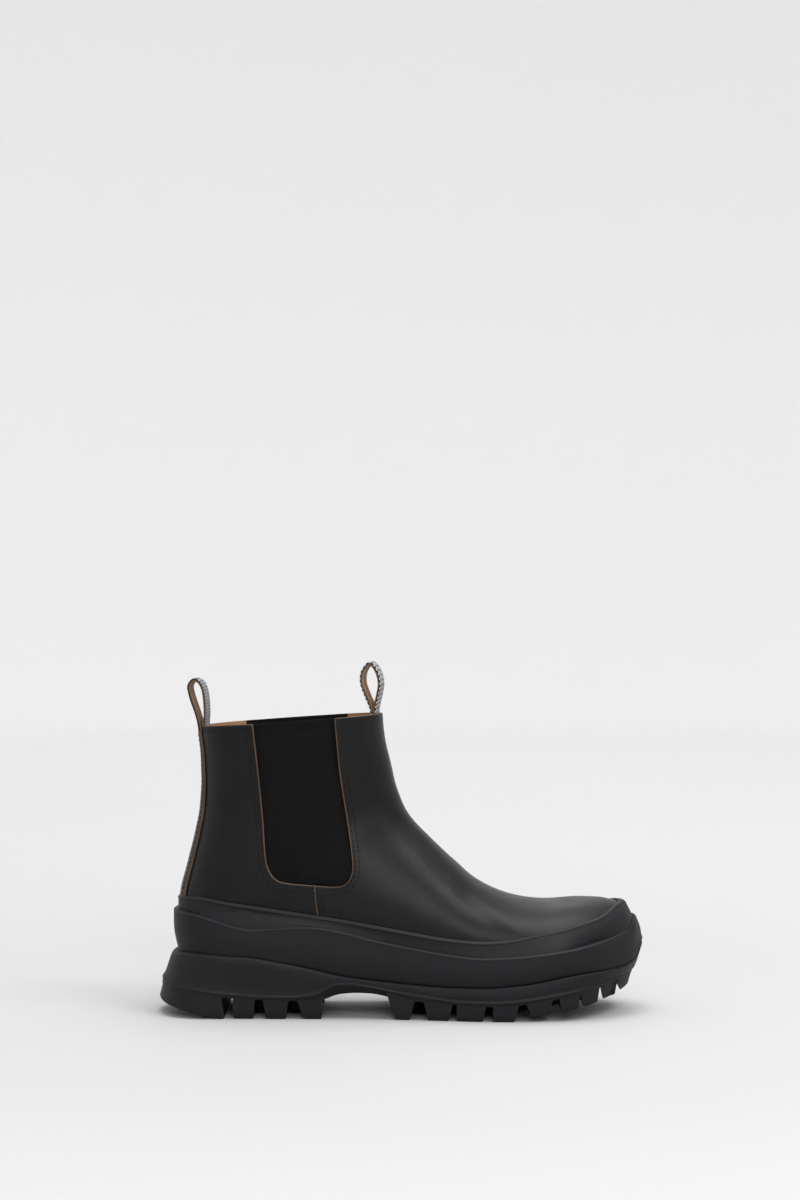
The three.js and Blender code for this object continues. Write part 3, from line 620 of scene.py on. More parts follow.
class Look:
    """A procedural material in the making. Textures are laid out in metres on the object."""

    def __init__(self, name):
        self.material = bpy.data.materials.new(name)
        self.material.use_nodes = True
        self.tree = self.material.node_tree
        self.shader = self.tree.nodes["Principled BSDF"]

    def feed(self, socket, value):
        """Link another node's output to a socket, or set the socket to a constant."""
        if isinstance(value, bpy.types.NodeSocket):
            self.tree.links.new(value, socket)
        else:
            socket.default_value = value

    def fill(self, node, inputs):
        for key, value in inputs.items():
            self.feed(node.inputs[key.replace("_", " ")], value)

    def surface(self, **inputs):
        self.fill(self.shader, inputs)

    def node(self, kind, settings=None, **inputs):
        node = self.tree.nodes.new(kind)
        for key, value in (settings or {}).items():
            setattr(node, key, value)
        self.fill(node, inputs)
        return node

    def place(self):
        return self.node("ShaderNodeTexCoord").outputs["Object"]

    def noise(self, scale, detail, roughness):
        return self.node("ShaderNodeTexNoise", Scale=scale, Detail=detail, Roughness=roughness,
                         Vector=self.place()).outputs["Fac"]

    def wave(self, direction, scale, distortion):
        return self.node("ShaderNodeTexWave", {"bands_direction": direction}, Scale=scale,
                         Distortion=distortion, Detail=1.0, Vector=self.place()).outputs["Fac"]

    def calc(self, operation, *values):
        node = self.node("ShaderNodeMath", {"operation": operation})
        for socket, value in zip(node.inputs, values):
            self.feed(socket, value)
        return node.outputs["Value"]

    def ramp(self, factor, *stops):
        """A colour that follows a factor through (position, colour) stops. A number is a grey."""
        node = self.node("ShaderNodeValToRGB", Fac=factor)
        elements = node.color_ramp.elements
        while len(elements) < len(stops):
            elements.new(0.5)
        for element, (position, color) in zip(elements, stops):
            element.position = position
            element.color = (*(color if isinstance(color, tuple) else (color, color, color)), 1)
        return node.outputs["Color"]

    def bump(self, height, distance, strength):
        """Relief, laid over any relief that is already there."""
        bump = self.node("ShaderNodeBump", Height=height, Distance=distance, Strength=strength)
        below = self.shader.inputs["Normal"].links
        if below:
            self.feed(bump.inputs["Normal"], below[0].from_socket)
        self.surface(Normal=bump.outputs["Normal"])


def leather(name, dark, light, roughness, pore=900, pore_depth=0.00006, coat=0.0, specular=0.4):
    """Smooth grain leather: fine pores, faint mottling and uneven polish."""
    look = Look(name)
    look.surface(Base_Color=look.ramp(look.noise(28, 5, 0.6), (0.3, dark), (0.7, light)),
                 Roughness=look.ramp(look.noise(45, 3, 0.5), (0.3, roughness[0]), (0.75, roughness[1])),
                 Specular_IOR_Level=specular, Coat_Weight=coat, Coat_Roughness=0.22)
    pores = look.node("ShaderNodeTexVoronoi", {"feature": "DISTANCE_TO_EDGE"}, Scale=pore,
                      Vector=look.place()).outputs["Distance"]
    look.bump(look.ramp(pores, (0.0, 0.0), (0.12, 1.0)), pore_depth, 0.5)
    look.bump(look.noise(60, 2, 0.5), 0.00025, 0.35)
    return look.material


def elastic():
    """Ribbed elastic: close vertical ribs crossed by fine picks of thread."""
    look = Look("black_ribbed_elastic")
    weave = look.calc("MULTIPLY", look.wave("X", 290.0, 0.6), look.wave("Z", 420.0, 0.8))
    # Painted shade: the colour follows the weave's relief and darkens in the hollows between ribs and
    # picks.
    shade = look.ramp(weave, (0.0, (0.003, 0.003, 0.0032)), (1.0, (0.006, 0.006, 0.0063)))
    look.surface(Base_Color=shade, Roughness=0.88, Sheen_Weight=0.02, Specular_IOR_Level=0.1)
    look.bump(weave, 0.0003, 0.7)
    return look.material


def rubber():
    """Matte moulded rubber, charcoal with a little blue, faintly cloudy from the mould."""
    look = Look("charcoal_rubber")
    clouds = look.noise(22, 5, 0.6)
    shade = look.ramp(clouds, (0.3, (0.0054, 0.0054, 0.0066)), (0.72, (0.0078, 0.0078, 0.0095)))
    look.surface(Base_Color=shade, Roughness=look.ramp(clouds, (0.3, 0.5), (0.7, 0.64)),
                 Specular_IOR_Level=0.2)
    look.bump(look.noise(1500, 2, 0.6), 0.00006, 0.5)
    look.bump(look.noise(90, 3, 0.5), 0.00015, 0.3)
    return look.material


def thread(name, color):
    """Twisted thread, with painted shade in the twist: the colour darkens where the relief is low."""
    look = Look(name)
    twist = look.noise(2600, 2, 0.5)
    # Painted shade: the noise that lowers the relief in the twist also darkens the colour there.
    shade = look.ramp(twist, (0.3, tuple(c * 0.6 for c in color)), (0.7, color))
    look.surface(Base_Color=shade, Roughness=0.7, Specular_IOR_Level=0.1)
    look.bump(twist, 0.00006, 0.8)
    return look.material


def ribbon(name, light, dark, zigzag, pitch, dark_share):
    """Woven ribbon: slanted picks of two yarns, turning at each edge of the zigzag."""
    look = Look(name)
    weave = look.node("ShaderNodeUVMap", {"uv_map": "weave"}).outputs["UV"]
    along, across, _ = look.node("ShaderNodeSeparateXYZ", Vector=weave).outputs
    fold = look.calc("PINGPONG", across, zigzag)
    yarn = look.calc("DIVIDE", look.calc("PINGPONG", look.calc("ADD", along, fold), pitch), pitch)
    look.surface(Base_Color=look.ramp(yarn, (dark_share - 0.12, dark), (dark_share + 0.12, light)),
                 Roughness=0.85, Sheen_Weight=0.15, Specular_IOR_Level=0.3)
    threads = look.calc("PINGPONG", look.calc("SUBTRACT", along, fold), 0.3)
    relief = look.calc("MULTIPLY", threads, look.calc("PINGPONG", across, 0.35))
    look.bump(look.calc("MULTIPLY", relief, 9.0), 0.0003, 0.9)
    return look.material


def board(name, dark, light):
    """Pressed fibre or foam."""
    look = Look(name)
    fibre = look.noise(420, 6, 0.7)
    look.surface(Base_Color=look.ramp(fibre, (0.3, dark), (0.7, light)), Roughness=0.9)
    look.bump(fibre, 0.0002, 0.6)
    return look.material


def steel():
    look = Look("spring_steel")
    brushed = look.noise(300, 3, 0.5)
    look.surface(Base_Color=look.ramp(brushed, (0.3, 0.42), (0.7, 0.56)),
                 Roughness=look.ramp(brushed, (0.3, 0.28), (0.7, 0.45)), Metallic=1.0)
    return look.material


BLACK = leather("black_box_calf", (0.0030, 0.0030, 0.0031), (0.0046, 0.0045, 0.0044), (0.33, 0.44),
                specular=0.17, coat=0.03)
TAN = leather("tan_vegetable_leather", (0.20, 0.095, 0.038), (0.36, 0.19, 0.085), (0.5, 0.7), pore=700,
              pore_depth=0.00008)
# The raw cut edge of tan leather, a little darkened by the dye of the face.
EDGE = leather("raw_leather_edge", (0.056, 0.030, 0.016), (0.132, 0.074, 0.040), (0.6, 0.8), pore=1600,
               pore_depth=0.0001)
ELASTIC = elastic()
RUBBER = rubber()
THREAD = thread("black_thread", (0.0055, 0.0055, 0.006))
GREY_RIBBON = ribbon("grey_ribbon", (0.25, 0.26, 0.30), (0.06, 0.065, 0.08), 1.1, 1.0, 0.45)
ZIGZAG_RIBBON = ribbon("zigzag_ribbon", (0.50, 0.51, 0.53), (0.008, 0.008, 0.009), 2.2, 1.5, 0.6)
FIBRE = board("fibreboard", (0.16, 0.10, 0.05), (0.34, 0.23, 0.13))
FOAM = board("footbed_foam_dark", (0.02, 0.02, 0.022), (0.05, 0.05, 0.054))
STEEL = steel()

# ---------------- upper panels

HIDDEN_FOOT = 5.0
GORE_SEAM_ALLOWANCE = 8.0
GORE_DEPTH = 1.75
GORE_CROWN = 1.05
GORE_THICKNESS = 1.1
SEAM_LIFT = 0.55

# The toe puff lifts the leather ahead of a slanting line, where x + z is this sum.
PUFF_EDGE_SUM = 121
PUFF_LIFT = 1.1

STRAP_TOP_ANGLE = 183.2
STRAP_FOOT_ANGLE = 211.0
STRAP_LIFT = 1.6
STRAP_TUCK = 1.9
STRAP_STITCH_INSET = 2.4
STRAP_STITCH_ANGLE = 185.0

GORE_STITCH_OFFSETS = (1.7, 4.4)
SEAM_STITCH_OFFSETS = (1.5, 4.2)
COLLAR_STITCH_DROP = 3.2


def gore_outline():
    """The gore's opening in side view, from the collar down its rear edge and up its front one."""
    return spline(GORE_REAR_EDGE + GORE_FOOT + GORE_FRONT_EDGE, 1.2)


def below_collar(line, extra=0.0):
    return line[line[:, 1] < collar_height(line[:, 0]) - extra]


def collar_run(turn_a, turn_b):
    """The collar's edge in the flat pattern, between two turns."""
    count = max(2, int(abs(turn_b - turn_a) * TURN_SCALE / 1.2))
    return to_flat(np.full(count, COLLAR_ANGLE), np.linspace(turn_a, turn_b, count))


def foot_run(side, x_from, x_to):
    """The upper's hidden lower edge on one side, a little under the rand's ledge."""
    xs = np.linspace(x_from, x_to, max(2, int(abs(x_to - x_from) / 1.5)))
    return outline_on(side, np.stack([xs, ledge(xs) - HIDDEN_FOOT], axis=1))


def last_foot_x():
    """Where the hidden lower edge meets the toe's front line."""
    low, high = 120.0, 156.0
    for _ in range(40):
        middle = (low + high) / 2
        angle, _ = polar(middle, ledge(middle) - HIDDEN_FOOT)
        if angle < TOE_ANGLE:
            low = middle
        else:
            high = middle
    return low


def first_foot_x():
    """Where the hidden lower edge meets the heel's back line."""
    xs = np.linspace(-150, -120, 3000)
    angle, reach = polar(xs, ledge(xs) - HIDDEN_FOOT)
    return xs[np.argmax(reach < heel_radius(angle))]


def seam_line(side):
    """The side seam from the gore's foot down to the hidden lower edge."""
    line = spline(SIDE_SEAM, 1.2)
    return outline_on(side, line[line[:, 1] > ledge(line[:, 0]) - HIDDEN_FOOT])


def split_gore():
    """The gore's edge behind and ahead of the side seam, both from the seam up to the collar."""
    edge = below_collar(gore_outline())
    meet = np.argmin(np.linalg.norm(edge - np.array(SIDE_SEAM[0]), axis=1))
    return edge[:meet + 1][::-1], edge[meet:]


def top_turn(side, line):
    """The turn at which a gore edge meets the collar."""
    x = line[-1][0]
    return float(to_section(x, collar_height(x), side)[1])


def vamp_outline():
    """The vamp's outline, and which of its points are a cut edge: all but those at the toe's tip."""
    _, ahead = split_gore()
    collar = collar_run(top_turn(LATERAL, ahead), top_turn(MEDIAL, ahead))
    toe_x = last_foot_x()
    start_x = SIDE_SEAM[-1][0] - 0.6
    lateral_foot = foot_run(LATERAL, toe_x, start_x)
    medial_foot = foot_run(MEDIAL, start_x, toe_x)
    toe_turn = medial_foot[-1][1]
    toe = np.stack([np.full(81, PATTERN_ALONG[-1]), np.linspace(toe_turn, -toe_turn, 81)], axis=1)
    lateral_foot[0] = toe[-1]
    medial_foot[-1] = toe[0]
    outline = flat_join(collar, outline_on(MEDIAL, ahead)[::-1], seam_line(MEDIAL), medial_foot, toe,
                        lateral_foot, seam_line(LATERAL)[::-1], outline_on(LATERAL, ahead))
    return outline, outline[:, 0] < PATTERN_ALONG[-1] - 1e-6


def quarter_outline(side):
    behind, _ = split_gore()
    collar = collar_run(top_turn(side, behind), side)
    x_back = first_foot_x()
    foot_angle, _ = polar(x_back, ledge(x_back) - HIDDEN_FOOT)
    back = to_flat(np.linspace(COLLAR_ANGLE, foot_angle, 90), np.full(90, side))
    foot = foot_run(side, x_back, SIDE_SEAM[-1][0] - 0.6)
    return flat_join(seam_line(side)[::-1], outline_on(side, behind), collar, back, foot)


def vamp_depth(place, distance):
    """The vamp stands proud over the quarters' edges, and where the toe puff starts under it."""
    x, z = place[:, 0], place[:, 2]
    seam_x, seam_z = np.array(SIDE_SEAM).T
    ahead_of_seam = x - np.interp(-z, -seam_z, seam_x)
    at_seam = (1 - smooth_step(ahead_of_seam, 2, 12)) * (1 - smooth_step(z, 84, 92))
    ahead_of_puff_edge = (x + z - PUFF_EDGE_SUM) / math.sqrt(2)
    puff = smooth_step(ahead_of_puff_edge, -5, 4) - smooth_step(ahead_of_puff_edge, 8, 55)
    return -SEAM_LIFT * at_seam - PUFF_LIFT * puff


def gore_depth(place, distance):
    """The gore's edges lie under the leather, and its middle fills the opening."""
    return GORE_DEPTH - GORE_CROWN * smooth_step(distance, GORE_SEAM_ALLOWANCE + 0.3, 12)


def strap_depth(place, distance):
    """The strap lies on the quarters and dives under the pull tab's sewn leg at the collar."""
    return -STRAP_LIFT + STRAP_TUCK * smooth_step(place[:, 2], 177.5, 181)


def build_upper():
    outline, free = vamp_outline()
    vamp = panel("vamp_leather", outline, vamp_depth, LEATHER, [BLACK, TAN, EDGE], free=free)
    finish_piece(vamp, "black_leather", "vamp")
    for side, name in SIDES:
        outline = quarter_outline(side)
        seam = seam_line(side)
        free = segment_distance(outline, seam[:-1], seam[1:]) > 1e-3
        quarter = panel(f"quarter_{name}_leather", outline, 0.0, LEATHER, [BLACK, TAN, EDGE], free=free)
        finish_piece(quarter, "black_leather", f"quarter_{name}")
        edge = below_collar(offset_line(gore_outline(), GORE_SEAM_ALLOWANCE))
        top = collar_run(top_turn(side, edge), top_turn(side, edge[::-1]))
        gore = panel(f"gore_{name}_elastic", flat_join(outline_on(side, edge), top), gore_depth,
                     GORE_THICKNESS, [ELASTIC] * 3, grid=2.2)
        finish_piece(gore, "elastic", f"gore_{name}")


def build_back_strap():
    angles = np.linspace(STRAP_TOP_ANGLE, STRAP_FOOT_ANGLE, 120)
    half_width = np.linspace(STRAP_TOP_HALF_WIDTH, STRAP_FOOT_HALF_WIDTH, 120)
    reach = strip_turn(angles, half_width)
    outline = strip_outline(to_flat(angles, 1 - reach), to_flat(angles, 1 + reach))
    strap = panel("back_strap_leather", outline, strap_depth, STRAP, [BLACK, TAN, EDGE], grid=1.5,
                  bevel=0.2, edge_width=0.3)
    finish_piece(strap, "black_leather", "back_strap")
    # The stitches start below the pull tab's leg.
    low = angles > STRAP_STITCH_ANGLE
    inner = strip_turn(angles, half_width - STRAP_STITCH_INSET)
    rows = [(angles[low], 1 + side * inner[low]) for side, _ in SIDES]
    finish_piece(stitches("back_strap_stitching", rows, -STRAP_LIFT), "black_leather")


def gore_stitch_row(side, distance):
    """A stitch row round the gore, a distance outside its edge."""
    line = below_collar(offset_line(gore_outline(), distance), 2.2)
    return to_section(line[:, 0], line[:, 1], side)


def seam_stitch_row(side, shift):
    """A stitch row ahead of the side seam, from under the gore's rows to under the rand."""
    line = spline([(x + shift, z) for x, z in SIDE_SEAM], 0.8)
    line = line[(line[:, 1] < 77) & (line[:, 1] > rand_top(line[:, 0]) - 2)]
    return to_section(line[:, 0], line[:, 1], side)


def collar_stitch_row(turn_a, turn_b, count):
    turns = np.linspace(turn_a, turn_b, count)
    return COLLAR_ANGLE + np.degrees(COLLAR_STITCH_DROP / section_radius(COLLAR_ANGLE, turns)), turns


def build_stitching():
    for side, name in SIDES:
        rows = [gore_stitch_row(side, distance) for distance in GORE_STITCH_OFFSETS]
        finish_piece(stitches(f"gore_stitching_{name}", rows), "black_leather")
        rows = [seam_stitch_row(side, shift) for shift in SEAM_STITCH_OFFSETS]
        finish_piece(stitches(f"side_seam_stitching_{name}", rows, -SEAM_LIFT), "black_leather")
    behind, ahead = split_gore()
    rows = [collar_stitch_row(top_turn(LATERAL, ahead) * 0.985, top_turn(MEDIAL, ahead) * 0.985, 200)]
    beside_strap = 1 - strip_turn(STRAP_STITCH_ANGLE, STRAP_TOP_HALF_WIDTH + 1)
    rows += [collar_stitch_row(top_turn(side, behind) * 1.015, side * beside_strap, 160)
             for side, _ in SIDES]
    finish_piece(stitches("collar_stitching", rows), "black_leather")


# ---------------- lining

LINING_FOOT_RISE = 6
LINING_TOE_X = 139.0
# The heel lining's foot behind the heel's bend.
HEEL_FOOT_X = (-131.5, -118)
HEEL_FOOT_Z = (60, 56)


def lining_depth(place, distance):
    return LINING_DEPTH + stiffener_depth(place)


def lining_half(side, edge, drop, foot):
    """One side of a lining: down the gore's edge and the seam, and along the foot."""
    return np.vstack([outline_on(side, part) for part in (edge[::-1], drop, foot)])


def add_lining(name, node, outline):
    piece = panel(name, outline, lining_depth, LINING, [TAN, TAN, EDGE], grid=2.6, bevel=0.15)
    finish_piece(piece, "tan_lining", node)


def build_linings():
    """Linings run to the footbed; the gores show between them on the inside."""
    wide = below_collar(offset_line(gore_outline(), GORE_SEAM_ALLOWANCE + GAP))
    split = np.argmin(wide[:, 1] + np.abs(wide[:, 0] + 62) * 0.05)
    behind, ahead = wide[:split + 1][::-1], wide[split:]
    seam_x, seam_top = wide[split]
    seam_z = np.arange(seam_top, insole_edge(seam_x) + LINING_FOOT_RISE, -1.5)
    drop = np.stack([np.full(len(seam_z), seam_x), seam_z], axis=1)

    xs = np.arange(seam_x, LINING_TOE_X, 2.0)
    foot = np.stack([xs, insole_edge(xs) + LINING_FOOT_RISE], axis=1)
    lateral, medial = (lining_half(side, ahead, drop, foot) for side, _ in SIDES)
    collar = collar_run(top_turn(LATERAL, ahead), top_turn(MEDIAL, ahead))
    toe = np.stack([np.full(60, max(lateral[-1][0], medial[-1][0])),
                    np.linspace(medial[-1][1], lateral[-1][1], 60)], axis=1)
    add_lining("vamp_lining_leather", "vamp_lining", flat_join(collar, medial, toe, lateral[::-1]))

    xs = np.arange(HEEL_FOOT_X[0], seam_x, 2.0)
    heel_foot = np.interp(xs, HEEL_FOOT_X, HEEL_FOOT_Z)
    foot_z = np.where(xs < HEEL_FOOT_X[1], heel_foot, insole_edge(xs) + LINING_FOOT_RISE)
    foot = np.stack([xs, foot_z], axis=1)
    lateral, medial = (lining_half(side, behind, drop, foot[::-1]) for side, _ in SIDES)
    # The lateral half is carried round past turn 1, so that the piece is one sheet round the heel.
    lateral = lateral + (0, 2 * TURN_SCALE)
    turns = np.linspace(2 + top_turn(LATERAL, behind), top_turn(MEDIAL, behind), 90)
    collar = to_flat(np.full(90, COLLAR_ANGLE), turns)
    heel = straight(medial[-1], lateral[-1], 24)
    add_lining("heel_lining_leather", "heel_lining", flat_join(collar, medial, heel, lateral[::-1]))


build_upper()
build_back_strap()
build_stitching()
build_linings()

# ---------------- sole


def edges_from_above():
    """The lateral and medial halves of the sole's outline, from the heel tip to the toe tip."""
    corners = np.array([HEEL_TIP, *LATERAL_EDGE, TOE_TIP, *MEDIAL_EDGE[::-1]], float)
    dense = []
    for i in range(len(corners)):
        dense += catmull_rom(*(corners[(i + k - 1) % len(corners)] for k in range(4)), 40)
    half = len(dense) // 2
    return {LATERAL: np.array(dense[:half + 1]), MEDIAL: np.array(dense[:1] + dense[half:][::-1])}


SOLE_EDGES = edges_from_above()


def edge_ring():
    """Outline points and outward normals: heel tip, lateral side, toe tip, medial side back."""
    pick = np.linspace(0, 1, EDGE_STEPS + 1)
    halves = []
    for side, _ in SIDES:
        line = resample(SOLE_EDGES[side], 1.0)
        halves.append(points_at(pick * (len(line) - 1), np.arange(len(line)), line))
    ring = np.vstack([halves[0], halves[1][::-1][1:-1]])
    return ring, to_right(np.roll(ring, -1, axis=0) - np.roll(ring, 1, axis=0))


RING, RING_OUT = edge_ring()
RING_SIZE = len(RING)
# Where the sole's sides belong to the heel, but not its back.
HEEL_SIDES = smooth_step(-RING[:, 0], 48, 80) * (1 - smooth_step(-RING[:, 0], 112, 138))
# The medial side of the toe, which leans back less than the tip does.
MEDIAL_TOE = (smooth_step(RING[:, 0], 105, 148) - smooth_step(RING[:, 0], 135, 154)) * (RING[:, 1] > 9)


def zone_mix(heel, side, toe):
    """A wall inset for each outline point from its heel, side and toe values."""
    heel_weight = smooth_step(-RING[:, 0], 100, 140)
    toe_weight = smooth_step(RING[:, 0], 105, 148)
    return heel_weight * heel + (1 - heel_weight - toe_weight) * side + toe_weight * toe


def wall_ring(height, inset):
    """A ring of the sole's wall: height is a function of x, inset one number for each point."""
    place = RING - RING_OUT * inset[:, None]
    return np.column_stack([place, height(place[:, 0])])


def level_ring(height, offset):
    """A ring on the upper's skin where it reaches a height, moved out by an offset."""
    xs = np.linspace(-150, 156, 6000)
    angle, reach = polar(xs, height(xs))
    inside = (reach < heel_radius(angle)) & (reach > instep_radius(angle)) & (angle < TOE_ANGLE)
    inside |= (xs > -100) & (xs < 100)
    first, last = xs[inside][[0, -1]]
    x = first + (last - first) * share_of(np.linspace(0, 1, EDGE_STEPS + 1))
    lateral, medial = (laid(*to_section(x, height(x), side), -offset) for side, _ in SIDES)
    return np.vstack([lateral, medial[::-1][1:-1]])


def cap(ring_index, upward):
    """Quads across a ring, between its lateral and medial halves."""
    base = ring_index * RING_SIZE
    faces = []
    for j in range(EDGE_STEPS):
        across = RING_SIZE - j - 1
        quad = list(dict.fromkeys([base + j, base + (across + 1) % RING_SIZE, base + across, base + j + 1]))
        faces.append(tuple(quad if upward else quad[::-1]))
    return faces


def moved_edge(side, inset_of):
    """One side's outline moved in, as points from the heel tip to the toe tip."""
    line = SOLE_EDGES[side]
    return line + to_right(np.gradient(line, axis=0)) * side * inset_of(line[:, 0])[:, None]


def edge_at(x, side, inset_of):
    """The sole wall's y at x on one side, moved in by an inset."""
    line = moved_edge(side, inset_of)
    rising = np.concatenate([[True], line[1:, 0] > np.maximum.accumulate(line[:-1, 0])])
    return np.interp(x, line[rising, 0], line[rising, 1])


def level_inset(inset):
    return lambda x: np.full(len(x), inset)


def spread_to_ledge(ring, share):
    """The band's foot spreads sideways to all but fill the midsole's ledge, and never past it."""
    x, y = ring[:, 0], ring[:, 1]
    spreading = smooth_step(x, -142, -120) * (1 - smooth_step(x, 95, 125)) * (1 - share) ** 2
    holding = smooth_step(x, -142, -130) * (1 - smooth_step(x, 110, 146)) * (1 - share)
    for side, _ in SIDES:
        gap = (edge_at(x, side, level_inset(2.2)) - y) * side
        past = np.minimum(gap - 1.2, 0)
        moved = y + side * (np.maximum(gap, 0) * spreading + past * holding)
        y = np.where(np.sign(y) == side, moved, y)
    return np.column_stack([x, y, ring[:, 2]])


# Where the sole is waisted between the heel and the forefoot, in x.
ARCH = (-47.0, -2.0)

# Share up the band, rise, and how far its outside stands out from the skin: thick at the foot,
# with a rounded lip at the top edge. The last rows are its inside.
RAND_PROFILE = [
    (0, -1.5, RAND - 0.9), (0.06, 0, RAND - 0.8), (0.3, 0, RAND - 0.7), (0.55, 0, RAND - 0.7),
    (0.8, 0, RAND - 0.7), (1, -2.8, RAND - 0.7), (1, -2.3, RAND - 0.5), (1, -1.8, RAND - 0.3),
    (1, -1.45, RAND - 0.35), (1, -1.2, RAND - 0.55), (1, -0.15, RAND - 1.6), (1, 0.0, RAND - 1.9),
    (1, 0.0, 0.5), (1, -0.6, 0.02), (0, -1.5, 0.02)]

# Share up the wall, rise, insets at heel, side and toe, and how much the heel's sides stand out.
MIDSOLE_WALLS = [
    (0.0, 0.1, 2.9, 3.3, 1.6, 1.9), (0.0, 0.4, 2.8, 2.8, 0.7, 1.6), (0.06, 0.6, 2.7, 2.1, 0.1, 1.1),
    (0.2, 0, 1.9, 0.9, 0.7, 0.3), (0.35, 0, 1.0, 0.3, 1.1, 0), (0.5, 0, 0.35, 0.0, 1.5, 0),
    (0.65, 0, 0.1, 0.1, 2.1, 0), (0.8, 0, 0.05, 0.35, 3.0, 0), (0.92, -0.8, 0.1, 0.5, 3.7, 0),
    (1.0, -1.6, 0.1, 0.5, 4.0, 0), (1.0, -1.15, 0.05, 0.45, 4.1, 0), (1.0, -0.9, 0.2, 0.6, 4.3, 0),
    (1.0, -0.2, 0.9, 1.3, 5.0, 0), (1.0, 0.0, 1.4, 1.8, 5.4, 0), (1.0, 0.05, 7.5, 8.0, 10.0, 0)]
OUTSOLE_WALLS = [
    (1, 0.1, 2.2, 3.0, 1.6, 0.6), (1, 0, 0.8, 2.2, 1.2, 1.2), (1, -0.15, 0.5, 2.0, 0.9, 1.25),
    (1, -1.05, -0.4, 1.6, 0.35, 1.85), (1, -1.5, -0.9, 1.5, 0.3, 2.0), (0.75, 0, -2.2, 1.3, 1.8, 1.3),
    (0.5, 0, -3.6, 1.2, 3.4, 0.6), (0.25, 0, -5.0, 1.4, 5.2, 0), (0, 1.9, -6.0, 1.6, 6.5, 0),
    (0, 1.4, -6.2, 1.5, 6.8, 0), (0, 0.6, -6.9, 0.9, 6.9, 0), (0, 0.1, -7.1, 0.7, 7.0, 0),
    (0, -0.45, -6.9, 1.2, 7.6, 0)]


def build_rand():
    """The mudguard band round the upper's foot."""
    rings = [spread_to_ledge(level_ring(between(ledge, rand_top, share, rise), offset), share)
             for share, rise, offset in RAND_PROFILE]
    rings.append(rings[0])
    faces = ring_faces(len(rings), RING_SIZE)
    piece = make_object("rand_rubber", np.vstack(rings), faces, [RUBBER], sharp=60)
    finish_piece(piece, "rubber", "rand")


def build_midsole():
    rings = [wall_ring(between(parting, ledge, share, rise),
                       zone_mix(heel, side, toe) - flat * HEEL_SIDES
                       - MEDIAL_TOE * share * max(toe - side - 0.3, 0))
             for share, rise, heel, side, toe, flat in MIDSOLE_WALLS]
    rings.append(wall_ring(lambda x: insole_edge(x) + 3.0, zone_mix(9.0, 10.0, 12.0)))
    faces = ring_faces(len(rings), RING_SIZE) + cap(0, True) + cap(len(rings) - 1, False)
    piece = make_object("midsole_rubber", np.vstack(rings), faces, [RUBBER], sharp=45)
    finish_piece(piece, "rubber", "midsole")


def build_outsole():
    rings = [wall_ring(between(wall_foot, parting, share, rise),
                       zone_mix(heel, side, toe) - lip * HEEL_SIDES)
             for share, rise, heel, side, toe, lip in OUTSOLE_WALLS]
    x = RING[:, 0]
    arch = smooth_step(x, ARCH[0] - 2, ARCH[0] + 7) * (1 - smooth_step(x, ARCH[1] - 6, ARCH[1] + 4))
    rings.append(wall_ring(tread_root, zone_mix(-7.2, 1.9, 8.0) + 5.5 * arch))
    faces = ring_faces(len(rings), RING_SIZE) + cap(0, False) + cap(len(rings) - 1, True)
    parts = [(np.vstack(rings), faces), end_block(*HEEL_BLOCK)]
    parts += [edge_lug(lug, side) for lug in OUTER_LUGS for side, _ in SIDES]
    parts += [centre_lug(lug) for lug in INNER_LUGS]
    parts.append(end_block(*TOE_BLOCK))
    points, faces = joined(parts)
    piece = make_object("outsole_rubber", points, faces, [RUBBER])
    finish_piece(piece, "rubber", "outsole")


# A tread block's limit in x, the slope of its square end, and which way it lies from there.
HEEL_BLOCK = (-110, -2, -1)
TOE_BLOCK = (138.5, 1.5, 1)

# Heights of a lug's outlines, as a share from the ground to its root, and how far each is
# pulled in: the lowest two round off the edge at the ground.
LUG_LEVELS = [(0.0, 0.7), (0.03, 0.25), (0.09, 0.0), (0.5, 0.0), (1.0, 0.0), (1.35, 0.0)]


def tread_inset(share, pull):
    """How far a lug's outer face stands in from the sole's outline at a share of its height."""
    def inset(x):
        heel = 1 - smooth_step(x, -140, -100)
        toe = smooth_step(x, 105, 148)
        lean = 1 - share
        return 1.8 + 0.8 * lean - heel * (8.4 + 3.0 * lean) + toe * (6.0 + 0.8 * lean) + pull

    return inset


def lug_ring(outline, share):
    """A lug's outline at a share of its height."""
    return np.column_stack([outline, between(ground, tread_root, share)(outline[:, 0])])


def lug_ends(lug, share, pull):
    rear, front, rear_slope, front_slope = lug
    return rear + rear_slope * share + pull, front + front_slope * share - pull


def edge_lug(lug, side):
    reach = abs(float(edge_at((lug[0] + lug[1]) / 2, side, level_inset(0.0))))
    inner_edge = min(OUTER_ROW_INNER_EDGE, reach - 13)
    rings = []
    for share, pull in LUG_LEVELS:
        xs = np.linspace(*lug_ends(lug, share, pull), 7)
        outer = edge_at(xs, side, tread_inset(share, pull))
        inner = np.full(7, side * (inner_edge + pull - 1.2 * share))
        outline = np.vstack([np.column_stack([xs, outer]), np.column_stack([xs, inner])[::-1]])
        rings.append(lug_ring(outline, share))
    return block_from_rings(rings)


def centre_lug(lug):
    """An arrow-shaped lug of the middle rows, pointing to the toe ahead of the arch."""
    middle = (lug[0] + lug[1]) / 2
    centre = sum(float(edge_at(middle, side, level_inset(0.0))) for side, _ in SIDES) / 2
    half = INNER_ROW_HALF_WIDTH if middle > 0 else HEEL_ROW_HALF_WIDTH
    nose = LUG_NOSE if middle > 0 else -LUG_NOSE
    rings = []
    for share, pull in LUG_LEVELS:
        x0, x1 = lug_ends(lug, share, pull)
        reach = half - pull + 0.8 * share
        outline = [(x0, -reach * 0.8), (x0 + nose, 0), (x0, reach * 0.8), ((x0 + x1) / 2, reach),
                   (x1, reach * 0.8), (x1 + nose, 0), (x1, -reach * 0.8), ((x0 + x1) / 2, -reach)]
        rings.append(lug_ring(np.array(outline) + (0, centre), share))
    return block_from_rings(rings)


